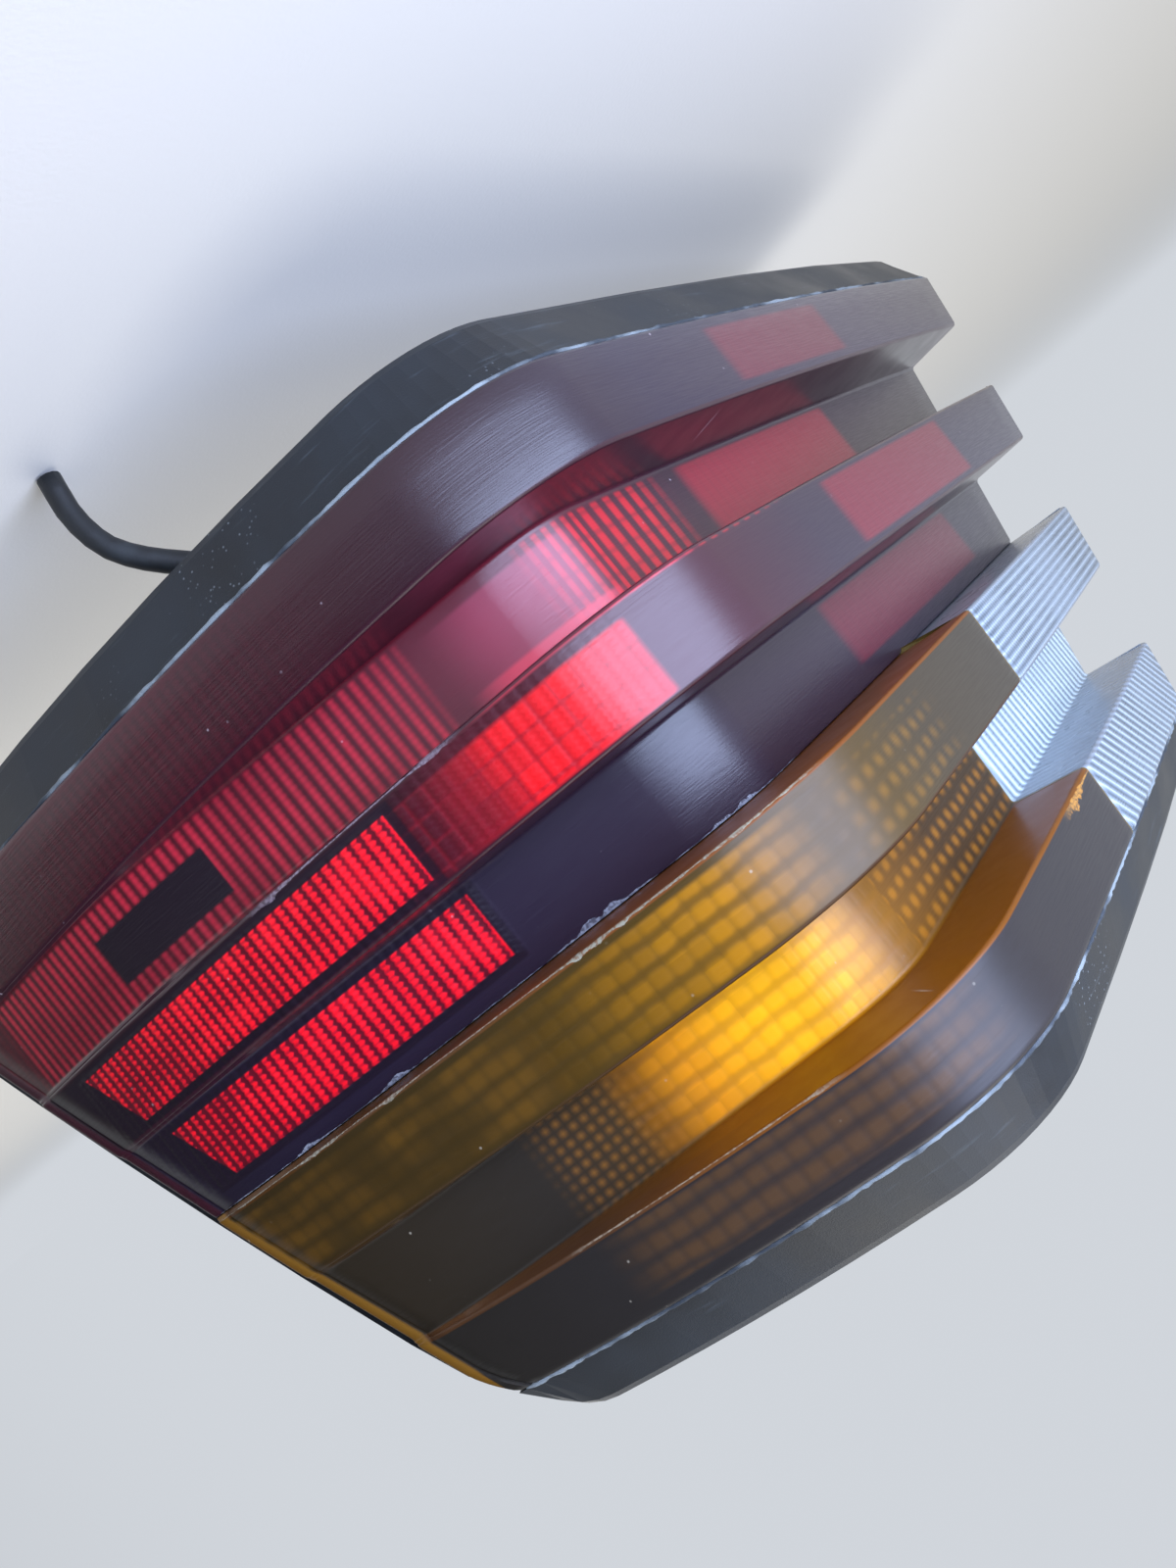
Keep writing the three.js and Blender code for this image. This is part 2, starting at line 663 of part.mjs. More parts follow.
// ---- reflectors: one cup for each bulb, open to the lens

function roundedRing(left, right, bottom, top, radius, y) {
  const corners = [[right, top, 0], [left, top, 1], [left, bottom, 2], [right, bottom, 3]];
  return corners.flatMap(([x, z, quarter]) => [0, 1, 2, 3].map((i) => {
    const turn = Math.PI / 2 * (quarter + i / 3);
    const cx = x === right ? x - radius : x + radius;
    const cz = z === top ? z - radius : z + radius;
    return new THREE.Vector3(cx + radius * Math.cos(turn), y, cz + radius * Math.sin(turn));
  }));
}

function holeRing(x, z, radius, y) {
  return roundedRing(x - radius, x + radius, z - radius, z + radius, radius, y);
}

function cup(front, rear, bulb) {
  const w = REFLECTOR_WALL;
  const frontY = RIB_DEPTH + LENS_WALL + 15;
  const backY = TRAY_DEPTH - TRAY_WALL - GAP;
  const hole = GLASS_RADIUS + 2;
  const inset = ([left, right, bottom, top], by) => [left + by, right - by, bottom + by, top - by];
  return skin([
    roundedRing(...front, 6, frontY),
    roundedRing(...rear, 6, backY),
    holeRing(bulb.x, bulb.z, hole, backY),
    holeRing(bulb.x, bulb.z, hole, backY - w),
    roundedRing(...inset(rear, w), 6 - w, backY - w),
    roundedRing(...inset(front, w), 6 - w, frontY),
  ]);
}

const bulbAt = {
  turn: { x: plateRight - UPPER_COLUMNS.turn * PLATE_WIDTH, z: upperRow },
  reverse: { x: plateRight - UPPER_COLUMNS.reverse * PLATE_WIDTH, z: upperRow },
  tail: { x: plateRight - LOWER_COLUMNS.tail * PLATE_WIDTH, z: lowerRow },
  stop: { x: plateRight - LOWER_COLUMNS.stop * PLATE_WIDTH, z: lowerRow },
  fog: { x: plateRight - LOWER_COLUMNS.fog * PLATE_WIDTH, z: lowerRow },
};
const half = REFLECTOR_GAP / 2;
const middle = (a, b) => (bulbAt[a].x + bulbAt[b].x) / 2;
const rests = {
  left: opening.left - 6,
  right: opening.right + 4,
  bottom: opening.bottom - 4,
  top: opening.top + 4,
};
const upperFloor = redTop + LENS_WALL + 3;
const lowerCeiling = redTop - LENS_WALL - 3;
const wallClear = 8;
const upperLeft = innerEnd(lensTop) + wallClear;
const lowerLeft = innerEnd(lowerCeiling) + wallClear;
const frontRight = 3;
const cups = {
  turn: {
    front: [-COLOUR_JOINT - 3 + half, frontRight, upperFloor, lensTop - LENS_WALL - 2],
    rear: [middle('turn', 'reverse') + half, rests.right, upperFloor, rests.top],
  },
  reverse: {
    front: [upperLeft, -COLOUR_JOINT - 3 - half, upperFloor, lensTop - LENS_WALL - 2],
    rear: [rests.left, middle('turn', 'reverse') - half, upperFloor, rests.top],
  },
  tail: {
    front: [middle('tail', 'stop') + half, frontRight - 4, LENS_WALL + 2, lowerCeiling],
    rear: [middle('tail', 'stop') + half, rests.right, rests.bottom, lowerCeiling],
  },
  stop: {
    front: [middle('stop', 'fog') + half, middle('tail', 'stop') - half, LENS_WALL + 2, lowerCeiling],
    rear: [middle('stop', 'fog') + half, middle('tail', 'stop') - half, rests.bottom, lowerCeiling],
  },
  fog: {
    front: [lowerLeft, middle('stop', 'fog') - half, LENS_WALL + 2, lowerCeiling],
    rear: [rests.left, middle('stop', 'fog') - half, rests.bottom, lowerCeiling],
  },
};
Object.entries(cups).forEach(([name, { front, rear }]) => {
  add(`reflector_${name}`, cup(front, rear, bulbAt[name]), 'white');
});

const linerFront = sideTrayDepth - TRAY_WALL - GAP - REFLECTOR_WALL;
const linerEdge = LENS_WALL + 1;
const linerTop = lensTop - linerEdge - CORNER_ROUNDING;
add('reflector_side', tallLoft(
  upright(face, linerFront, linerEdge, linerTop),
  upright(face, linerFront + REFLECTOR_WALL, linerTop, linerEdge),
  span(() => bendEnd + SIDE_BACK_START + 1, shifted(sideEnd, -LENS_WALL - 4), 7),
), 'white');

// ---- bulb plate: the body that slides out of the back

const carrier = new THREE.Group();
lamp.add(carrier);

function ear(z0, z1) {
  const { x, y } = latchPivot;
  const outline = polygon([
    [plateLeft + 4, plateBack - 0.5], [plateLeft + 4, plateBack + 2], [x + 2, y + 4],
    [x - 3.4, y + 3], [x - 3.4, y - 2.4], [plateLeft, plateFront + 1], [plateLeft + 4, plateFront + 1],
  ]);
  return plateAlongZ(outline, z0, z1);
}

function pinHole(z, reach, radius) {
  const geometry = new THREE.CylinderGeometry(radius, radius, 2 * reach, 14);
  return geometry.rotateX(Math.PI / 2).translate(latchPivot.x, latchPivot.y, z);
}

const earInner = LATCH_WIDTH / 2 + GAP;
const earOuter = earInner + 2.5;
const plateRim = withHole(
  rectangle(plateLeft + 5, plateRight - 1, plateBottom + 1, plateTop - 1),
  rectangle(plateLeft + 7.5, plateRight - 3.5, plateBottom + 3.5, plateTop - 3.5));

add('bulb_plate', cut(
  joined(
    box(plateLeft, plateRight, plateFront, plateBack, plateBottom, plateTop),
    plateAlongY(plateRim, plateBack - 0.5, plateBack + 4),
    ...latchHeights.flatMap((z) => [ear(z - earOuter, z - earInner), ear(z + earInner, z + earOuter)]),
  ),
  ...Object.values(bulbAt).map(({ x, z }) => rod(holderRadius + GAP, x, z, plateFront - 1, plateBack + 6)),
  ...latchHeights.map((z) => pinHole(z, earOuter + 1, 1.45 + RUNNING)),
), 'grey', carrier);

add('plate_seal', plateAlongY(withHole(
  rectangle(plateLeft + 1, plateRight - 1, plateBottom + 1, plateTop - 1),
  rectangle(plateLeft + 7, plateRight - 7, plateBottom + 7, plateTop - 7),
), TRAY_DEPTH + GAP, plateFront - GAP), 'foam', carrier);

function bayonetSlot(x, z, side) {
  const width = 2 * 1.15 + 2 * 9 * Math.sin(THREE.MathUtils.degToRad(BAYONET_TURN) / 2);
  const slot = box(holderBore - 2, holderRadius + 1, capFront - 3, capFront + 5.6, -1.15, width - 1.15);
  return slot.rotateY(side === 0 ? 0 : Math.PI).translate(x, 0, z);
}

Object.entries(bulbAt).forEach(([name, { x, z }]) => {
  const holderBack = capFront + CAP_LENGTH + 3.2;
  const flangeBack = plateFront - GAP;
  const flangeFront = flangeBack - 1.7;
  add(`holder_${name}`, cut(
    turned([
      [holderBore, capFront - 1], [holderRadius, capFront - 1], [holderRadius, flangeFront],
      [HOLDER_FLANGE, flangeFront], [HOLDER_FLANGE, flangeBack], [holderRadius, flangeBack],
      [holderRadius, holderBack], [0, holderBack], [0, holderBack - 1.5], [holderBore, holderBack - 1.5],
      [holderBore, capFront - 1],
    ], x, z, 20),
    bayonetSlot(x, z, 0),
    bayonetSlot(x, z, 1),
  ), 'steel', carrier);
  const capBack = capFront + CAP_LENGTH;
  const pin = new THREE.CylinderGeometry(0.9, 0.9, 2 * (holderRadius - 0.3), 8);
  add(`cap_${name}`, joined(
    turned([
      [0, capFront], [CAP_RADIUS, capFront], [CAP_RADIUS, capBack - 2], [CAP_RADIUS - 1.5, capBack - 1],
      [3, capBack - 1], [2.6, capBack + 0.4], [0, capBack + 0.8],
    ], x, z, 18),
    pin.rotateZ(Math.PI / 2).translate(x, capFront + 3.5, z),
  ), 'brass', carrier);
  const neck = capFront - GAP;
  const tip = neck - GLASS_LENGTH;
  const centre = tip + GLASS_RADIUS;
  const arc = (radius, from, to, steps) => Array.from({ length: steps + 1 }, (_, i) => {
    const turn = from + (to - from) * i / steps;
    return [radius * Math.cos(turn), centre + radius * Math.sin(turn)];
  });
  const inner = GLASS_RADIUS - GLASS_WALL;
  const profile = [
    ...arc(GLASS_RADIUS, -Math.PI / 2, Math.PI / 5, 6), [6.6, neck - 3], [6.6, neck],
    [6.6 - GLASS_WALL, neck], [6.6 - GLASS_WALL, neck - 3.3], ...arc(inner, Math.PI / 5, -Math.PI / 2, 6),
  ].map(([radius, y]) => [radius < 1e-6 ? 0 : radius, y]);
  add(`glass_${name}`, turned(profile, x, z, 16), name === 'turn' ? 'amberGlass' : 'glass', carrier);
});

// ---- latches, drawn open

latchHeights.forEach((z, i) => {
  const level = i === 0 ? 'lower' : 'upper';
  const { x, y } = latchPivot;
  const hookY = TRAY_DEPTH + 5 - GAP - y;
  const lever = polygon([
    [-3, 3], [-3, hookY + 0.2], [-8, hookY], [-8, hookY - 1], [-5, hookY - 2.8], [1, hookY - 2.8], [1, -2],
    [3, -1], [3, 2.6], [2, 8], [4, 12], [2.4, 13], [-1, 9],
  ]);
  const eye = new THREE.CylinderGeometry(1.45 + RUNNING, 1.45 + RUNNING, LATCH_WIDTH + 2, 16);
  const latch = cut(
    plateAlongZ(lever, z - LATCH_WIDTH / 2, z + LATCH_WIDTH / 2),
    eye.rotateX(Math.PI / 2).translate(0, 0, z),
  );
  const mesh = add(`latch_${level}`, latch, 'black', carrier);
  mesh.position.set(x, y, 0);
  mesh.rotation.z = THREE.MathUtils.degToRad(LATCH_OPEN);
  add(`latch_pin_${level}`, pinHole(z, earOuter + 0.6, 1.45), 'steel', carrier);
});

// ---- connector and contact track

const connector = { x: bulbAt.stop.x + 1, z: (upperRow + lowerRow) / 2 };
const socketFront = plateBack + GAP;
const socketBack = socketFront + CONNECTOR_DEPTH;
const halfWidth = CONNECTOR_WIDTH / 2;
const halfHeight = CONNECTOR_HEIGHT / 2;
add('connector_socket', cut(
  box(connector.x - halfWidth, connector.x + halfWidth, socketFront, socketBack,
    connector.z - halfHeight, connector.z + halfHeight),
  box(connector.x - halfWidth + CONNECTOR_WALL, connector.x + halfWidth - CONNECTOR_WALL,
    socketFront + 2, socketBack + 1,
    connector.z - halfHeight + CONNECTOR_WALL, connector.z + halfHeight - CONNECTOR_WALL),
  box(connector.x - 3, connector.x + 3, socketBack - 7, socketBack + 1,
    connector.z + halfHeight - CONNECTOR_WALL - 1, connector.z + halfHeight + 1),
), 'black', carrier);

const pinPitch = (CONNECTOR_WIDTH - 2 * CONNECTOR_WALL) / CONNECTOR_PINS;
for (let i = 0; i < CONNECTOR_PINS; i += 1) {
  const x = connector.x + (i - (CONNECTOR_PINS - 1) / 2) * pinPitch;
  const z = connector.z - halfHeight + CONNECTOR_WALL + 3;
  const blade = box(x - 1.4, x + 1.4, socketFront + 2 + GAP, socketBack - 4, z - 0.4, z + 0.4);
  add(`contact_blade_${i + 1}`, blade, 'brass', carrier);
}

const trackBack = socketFront + 0.8;
const lug = holderRadius + 0.5;
const strip = (x0, x1, z0, z1) => box(x0, x1, socketFront, trackBack, z0, z1);
const trackTop = connector.z + halfHeight + 6;
const trackLow = connector.z - halfHeight - 10;
const tail = bulbAt.tail.x;
const fog = bulbAt.fog.x;
add('contact_track', joined(
  strip(fog - 3, tail + 3, trackTop, trackTop + 5),
  strip(fog - 3, tail + 3, trackLow, trackLow + 5),
  strip(fog - 3, fog + 3, lowerRow + lug, trackTop + 1),
  strip(tail - 3, tail + 3, lowerRow + lug, trackTop + 1),
  strip(bulbAt.stop.x - 3, bulbAt.stop.x + 3, lowerRow + lug, trackLow + 1),
  strip(bulbAt.turn.x - 3, bulbAt.turn.x + 3, trackTop + 4, upperRow - lug),
  strip(bulbAt.reverse.x - 3, bulbAt.reverse.x + 3, trackTop + 4, upperRow - lug),
), 'brass', carrier);

// The origin is the middle of the body seal's lower run, on the face that meets the car.
export const origin = new THREE.Vector3(innerEnd(0) / 2, seatY, BODY_SEAL_WIDTH / 2);
lamp.position.copy(origin).negate();

export default lamp;
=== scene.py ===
import math
import random

import bpy
from mathutils import Matrix, Vector


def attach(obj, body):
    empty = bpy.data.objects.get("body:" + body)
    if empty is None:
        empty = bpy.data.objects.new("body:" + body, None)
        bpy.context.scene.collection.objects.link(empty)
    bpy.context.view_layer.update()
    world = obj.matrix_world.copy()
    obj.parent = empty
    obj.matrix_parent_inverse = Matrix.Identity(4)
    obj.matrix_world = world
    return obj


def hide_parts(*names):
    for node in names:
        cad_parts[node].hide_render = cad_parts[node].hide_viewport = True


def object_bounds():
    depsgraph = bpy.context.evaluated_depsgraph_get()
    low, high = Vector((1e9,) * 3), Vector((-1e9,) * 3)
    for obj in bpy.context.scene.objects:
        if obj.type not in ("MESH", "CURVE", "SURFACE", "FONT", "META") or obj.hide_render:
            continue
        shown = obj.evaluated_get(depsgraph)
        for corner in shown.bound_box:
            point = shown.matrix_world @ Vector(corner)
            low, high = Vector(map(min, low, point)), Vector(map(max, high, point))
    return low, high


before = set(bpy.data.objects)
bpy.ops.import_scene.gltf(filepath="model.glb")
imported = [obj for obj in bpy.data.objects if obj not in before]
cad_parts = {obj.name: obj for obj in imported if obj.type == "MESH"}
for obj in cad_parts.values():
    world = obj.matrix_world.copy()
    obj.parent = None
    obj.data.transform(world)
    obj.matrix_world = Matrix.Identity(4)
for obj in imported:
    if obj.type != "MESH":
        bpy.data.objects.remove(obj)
cad_box = [list(corner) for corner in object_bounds()]
bpy.ops.object.select_all(action="DESELECT")


# ---------------------------------------------------------------- viewpoint, floor and studio light
# The lamp is seen from its outer side and close up, with the picture turned so that the lens runs
# across it. It stands over a pale matt floor, lit by a tall soft light in front of the bend.
SMOOTH = {"interpolation_type": "SMOOTHSTEP"}


def linear(hex_colour):
    """An sRGB colour as linear RGBA."""
    parts = [int(hex_colour[i:i + 2], 16) / 255 for i in (1, 3, 5)]
    return [c / 12.92 if c <= 0.04045 else ((c + 0.055) / 1.055) ** 2.4 for c in parts] + [1.0]


def add(material, kind, links=None, output=0, **settings):
    """Adds a node with its settings and links, and hands back one of its outputs."""
    node = material.node_tree.nodes.new(kind)
    for key, value in settings.items():
        setattr(node, key, value)
    for socket, source in (links or {}).items():
        if isinstance(source, bpy.types.NodeSocket):
            material.node_tree.links.new(source, node.inputs[socket])
        else:
            node.inputs[socket].default_value = source
    return node.outputs[output] if node.outputs else None


def new_material(name):
    material = bpy.data.materials.new(name)
    material.use_nodes = True
    material.node_tree.nodes.clear()
    return material


def surface(material, links, bump, strength, distance=0.0004):
    """Ends a material: a relief, the shader and the output."""
    links["Normal"] = add(material, "ShaderNodeBump",
                          {"Height": bump, "Strength": strength, "Distance": distance})
    shader = add(material, "ShaderNodeBsdfPrincipled", links)
    add(material, "ShaderNodeOutputMaterial", {"Surface": shader})


camera_data = bpy.data.cameras.new("camera")
camera_data.lens = 27.045
camera_data.sensor_width = 36
camera_data.clip_start = 0.01
camera = bpy.data.objects.new("camera", camera_data)
bpy.context.scene.collection.objects.link(camera)
camera_right = Vector((-0.52899, -0.57022, 0.62851))
camera_up = Vector((-0.40882, -0.47777, -0.77756))
camera_back = camera_right.cross(camera_up)
turn = Matrix((camera_right, camera_up, camera_back)).transposed().to_4x4()
camera.matrix_world = Matrix.Translation((0.34202, -0.20128, 0.07310)) @ turn
bpy.context.scene.camera = camera
bpy.context.scene.view_settings.view_transform = "Standard"

lowest = cad_box[0][2]
bpy.ops.mesh.primitive_plane_add(size=30, location=(0, 0, lowest - 0.0005))
floor = bpy.context.object
floor.name = "studio_floor"
matt_paper = new_material("matt_paper")  # seamless backdrop paper, which runs out into the pale room
place = add(matt_paper, "ShaderNodeTexCoord", output="Object")
fibres = add(matt_paper, "ShaderNodeTexNoise", {"Vector": place, "Scale": 900.0})
surface(matt_paper, {"Base Color": linear("#cfccc6"), "Roughness": 0.9}, fibres, 0.1)
paper = matt_paper.node_tree.nodes["Principled BSDF"].outputs[0]
reach = add(matt_paper, "ShaderNodeVectorMath", {0: place}, output="Value", operation="LENGTH")
far = add(matt_paper, "ShaderNodeMapRange", {"Value": reach, "From Min": 0.5, "From Max": 2.6}, **SMOOTH)
across = add(matt_paper, "ShaderNodeSeparateXYZ", {"Vector": place}, output="X")
left = add(matt_paper, "ShaderNodeMapRange", {"Value": across, "From Min": 0.4, "From Max": -0.6}, **SMOOTH)
share = add(matt_paper, "ShaderNodeMath", {0: far, 1: left}, operation="MULTIPLY")
ROOM_COLOUR, ROOM_LEVEL = linear("#e9eef5"), 0.78
room = add(matt_paper, "ShaderNodeEmission", {"Color": ROOM_COLOUR, "Strength": ROOM_LEVEL})
blend = add(matt_paper, "ShaderNodeMixShader", {0: share, 1: paper, 2: room})
matt_paper.node_tree.links.new(blend, matt_paper.node_tree.nodes["Material Output"].inputs["Surface"])
floor.data.materials.append(matt_paper)

world = bpy.data.worlds.new("soft_room")
bpy.context.scene.world = world
world.use_nodes = True
heading = add(world, "ShaderNodeTexCoord", output="Generated")
east = add(world, "ShaderNodeSeparateXYZ", {"Vector": heading}, output="X")
level = add(world, "ShaderNodeMapRange", {
    "Value": east, "From Min": -0.35, "From Max": 0.75, "To Min": ROOM_LEVEL, "To Max": 0.24,
}, **SMOOTH)
background = world.node_tree.nodes["Background"]
background.inputs["Color"].default_value = ROOM_COLOUR
world.node_tree.links.new(level, background.inputs["Strength"])


def soft_light(name, place, target, width, height, power, colour):
    """A softbox at a place, aimed at a target."""
    data = bpy.data.lights.new(name, "AREA")
    data.shape = "RECTANGLE"
    data.size, data.size_y = width, height
    data.energy = power
    data.color = linear(colour)[:3]
    light = bpy.data.objects.new(name, data)
    bpy.context.scene.collection.objects.link(light)
    aim = Vector(target) - Vector(place)
    light.rotation_euler = aim.to_track_quat("-Z", "Y").to_euler()
    light.location = place
    light.visible_camera = False


soft_light("light_front", (0.27, -0.55, 0.35), (0.27, 0.298, 0.88), 0.52, 0.95, 15.0, "#c3d5ff")
soft_light("light_above", (0.3, -0.2, 1.6), (0.1, 0.0, 0.08), 1.4, 1.4, 14, "#fffdf9")
soft_light("light_behind", (-0.6, 1.1, 1.0), (0.1, 0.1, 0.05), 1.2, 1.2, 8, "#fffdf9")


def dark_card(name, centre, height, tilt):
    """A dark flag that only reflections see: it keeps the side of the lens deep in colour."""
    bpy.ops.mesh.primitive_plane_add(size=1, location=centre, rotation=(0, tilt, 0))
    card = bpy.context.object
    card.name = name
    card.scale = (height, CARD_LENGTH, 1)
    card.data.materials.append(dark_cloth)
    card.visible_camera = card.visible_diffuse = card.visible_shadow = card.visible_transmission = False


CARD_LENGTH = 2.6
dark_cloth = new_material("dark_cloth")  # matt black flag cloth
place = add(dark_cloth, "ShaderNodeTexCoord", output="Object")
threads = add(dark_cloth, "ShaderNodeTexNoise", {"Vector": place, "Scale": 300.0})
surface(dark_cloth, {"Base Color": linear("#202224"), "Roughness": 1.0}, threads, 0.2)
dark_card("dark_card_wall", (1.15, 0.5, 0.5), 1.1, -math.pi / 2)
dark_card("dark_card_floor", (0.78, 0.5, lowest + 0.004), 0.75, 0)


# ---------------------------------------------------------------- lens sheets
# One hot-pressed acrylic sheet per colour: straight bands, raised and sunk in turn, bent round the
# corner of the car and flattening out towards the side end. Each edge is rolled back into the tray.
MM = 0.001
SEAT = Vector((132.5, -80.0, -4.0))  # the lens place s 0, z 0 in the frame, in mm
REAR_RADIUS, BEND_RADIUS, SIDE_RADIUS = 3300.0, 48.0, 480.0
BEND_END = BEND_RADIUS * 1.06
EDGES = (0.0, 22.6, 48.4, 70.8, 97.0, 119.4, 145.0, 165.0)  # the bands lie between these heights
TOP = EDGES[7]
INNER_LENGTH, INNER_SLANT = 166, 0.6  # the faces grow by their slant per mm of height downwards
SIDE_LENGTH, SIDE_SLANT = 108, 0.56
JOINT_PLACE, JOINT_SLANT = 72, 0.12  # where the amber sheet meets the clear one
JOINT_HALF_GAP = 0.15
CORNER = 10  # height over which the upper side corner is rounded off
STEP, STEP_LOSS = 21, 20.4  # the sunk bands, and how much shallower they are at the side end
FADE_BEFORE, FADE_LENGTH = 16, 145  # the steps start to flatten a little before the end of the bend
ROUND = 1.2  # radius of the moulded edges
DEEP = 27.0  # the outer edges of the lens run back this far into the tray
SHALLOW = 2.6  # and the edges at the joint run back this far


def along_arc(start, radius, length):
    x, y, a = start
    b = a + length / radius
    return x + radius * (math.sin(b) - math.sin(a)), y - radius * (math.cos(b) - math.cos(a)), b


def plan(s):
    """The plan curve of the raised bands: x, y and heading."""
    if s < 0:
        return along_arc((0, 0, 0), REAR_RADIUS, s)
    if s <= BEND_END:
        return along_arc((0, 0, 0), BEND_RADIUS, s)
    return along_arc(along_arc((0, 0, 0), BEND_RADIUS, BEND_END), SIDE_RADIUS, s - BEND_END)


def at_depth(s, depth, z):
    x, y, a = plan(s)
    return (Vector((x - depth * math.sin(a), y + depth * math.cos(a), z)) + SEAT) * MM


def step_depth(s):
    t = min(max((s - BEND_END + FADE_BEFORE) / FADE_LENGTH, 0), 1)
    return STEP - STEP_LOSS * t * t * (3 - 2 * t)


def inner_end(z):
    return -(INNER_LENGTH + INNER_SLANT * (TOP - z))


def colour_joint(z):
    return -(JOINT_PLACE + JOINT_SLANT * (TOP - z))


def side_end(z):
    into = min(max(z - (TOP - CORNER), 0), CORNER)
    return BEND_END + SIDE_LENGTH + SIDE_SLANT * (TOP - z) - into ** 2 / (2 * CORNER)


# A row of the sheet is (share of the step, extra depth, z). A column is (s at a height, extra depth).
def round_out(edge, sign):
    """The rounded outer edge of a raised band."""
    turns = [math.pi / 2 * k / 5 for k in range(6)]
    return [(0, ROUND * (1 - math.cos(t)), edge - sign * ROUND * (1 - math.sin(t))) for t in turns]


def round_in(edge, sign):
    """The rounded foot of a step wall, 0.8 mm further on, as the walls lean."""
    turns = [math.pi / 2 * k / 4 for k in range(5)]
    return [(1, -ROUND * (1 - math.sin(t)), edge + sign * (0.8 + ROUND * (1 - math.cos(t)))) for t in turns]


def step_down(edge):
    return round_out(edge, 1) + round_in(edge, 1)


def step_up(edge):
    return (round_out(edge, -1) + round_in(edge, -1))[::-1]


def rows_across(low, high, count=3):
    return [(0, 0.0, low + (high - low) * k / count) for k in range(1, count)]


def end_columns(end, inwards, back):
    """The sheet turns back at an end: its columns from the back to the face."""
    turns = [math.pi / 2 * k / 4 for k in range(5)]
    rolled = [(lambda z, t=t: end(z) + inwards * ROUND * (1 - math.cos(t)), ROUND * (1 - math.sin(t)))
              for t in turns]
    return [(end, back)] + rolled


def between(start, finish, count):
    return [(lambda z, k=k: start(z) + (finish(z) - start(z)) * k / count, 0.0) for k in range(1, count)]


def bend_start(z):
    return 0.0


def bend_end(z):
    return BEND_END


def near_side(z):
    return side_end(z) - 5.6


def wrapped_columns(start, start_back):
    """Columns of a sheet that wraps the bend. A shallow groove runs along its side end."""
    left = end_columns(start, 1, start_back)
    columns = left + between(left[-1][0], bend_start, 14) + [(bend_start, 0.0)]
    columns += between(bend_start, bend_end, 26) + [(bend_end, 0.0)]
    columns += between(bend_end, near_side, 26) + [(near_side, 0.0)]
    for inwards, dip in ((5.0, 0.45), (4.4, 0.6), (3.9, 0.4), (3.4, 0.0)):
        columns.append((lambda z, inwards=inwards: side_end(z) - inwards, dip))
    return columns + end_columns(side_end, -1, DEEP)[::-1]


def lens_sheet(name, columns, rows):
    bpy.ops.object.select_all(action="DESELECT")
    bpy.ops.mesh.primitive_grid_add(x_subdivisions=len(columns) - 1, y_subdivisions=len(rows) - 1, size=2)
    sheet = bpy.context.object
    sheet.name = name
    mesh = sheet.data
    where = mesh.attributes.new("lens_place", "FLOAT_VECTOR", "POINT")
    for vertex in mesh.vertices:
        s_at, extra = columns[round((vertex.co.x + 1) / 2 * (len(columns) - 1))]
        share, offset, z = rows[round((vertex.co.y + 1) / 2 * (len(rows) - 1))]
        s = s_at(z)
        step = step_depth(s)
        rounding = 1 if offset > 3 else min(1, step / (2.2 * ROUND))  # less where the step dies out
        depth = share * step + offset * rounding
        depth = max(depth + 0.8, DEEP) if extra == DEEP else depth + extra
        vertex.co = at_depth(s, depth, z)
        where.data[vertex.index].vector = (s, z, share)
    bpy.ops.object.mode_set(mode="EDIT")
    bpy.ops.mesh.select_all(action="SELECT")
    bpy.ops.mesh.normals_make_consistent(inside=False)
    bpy.ops.object.mode_set(mode="OBJECT")
    outward = sum(face.normal.dot(Vector((0.6, -1, 0))) * face.area for face in mesh.polygons)
    if outward < 0:
        mesh.flip_normals()
    wall = sheet.modifiers.new("wall", "SOLIDIFY")
    wall.thickness = 0.0016
    wall.offset = -1
    bpy.ops.object.modifier_apply(modifier="wall")
    bpy.ops.object.shade_smooth_by_angle(angle=math.radians(50))
    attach(sheet, "lamp_housing")
    return sheet


lower_return = [(0, 7.0, 0.0), (0, ROUND, 0.0), (0, 0.35, 0.35), (0, 0.0, ROUND)]
red_rows = lower_return + rows_across(ROUND, EDGES[1] - ROUND)
red_rows += step_down(EDGES[1]) + step_up(EDGES[2]) + rows_across(EDGES[2] + ROUND, EDGES[3] - ROUND)
red_rows += step_down(EDGES[3]) + [(1, 0.0, 95.2), (1, 0.4, 95.9), (1, 2.4, 95.9)]
red_lens = lens_sheet("red_lens", wrapped_columns(inner_end, DEEP), red_rows)
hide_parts("lens_red")

upper_rows = [(1, 2.4, 96.2), (1, 0.0, 96.2)] + round_out(EDGES[4], -1)[::-1]
upper_rows += rows_across(EDGES[4] + ROUND, EDGES[5] - ROUND)
upper_rows += step_down(EDGES[5]) + step_up(EDGES[6])
upper_rows += [(0, 0.0, z) for z in (149, 153, 156, 158, 160, 161.5, 163, TOP - ROUND)]
upper_rows += [(0, 0.35, TOP - 0.35), (0, ROUND, TOP), (0, 7.0, TOP)]


def amber_start(z):
    return colour_joint(z) + JOINT_HALF_GAP


def clear_finish(z):
    return colour_joint(z) - JOINT_HALF_GAP


amber_lens = lens_sheet("amber_lens", wrapped_columns(amber_start, SHALLOW), upper_rows)
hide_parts("lens_amber")

inner_columns = end_columns(inner_end, 1, DEEP)
joint_columns = end_columns(clear_finish, -1, SHALLOW)[::-1]
flat_columns = between(inner_columns[-1][0], joint_columns[0][0], 12)
clear_lens = lens_sheet("clear_lens", inner_columns + flat_columns + joint_columns, upper_rows)
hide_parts("lens_clear")


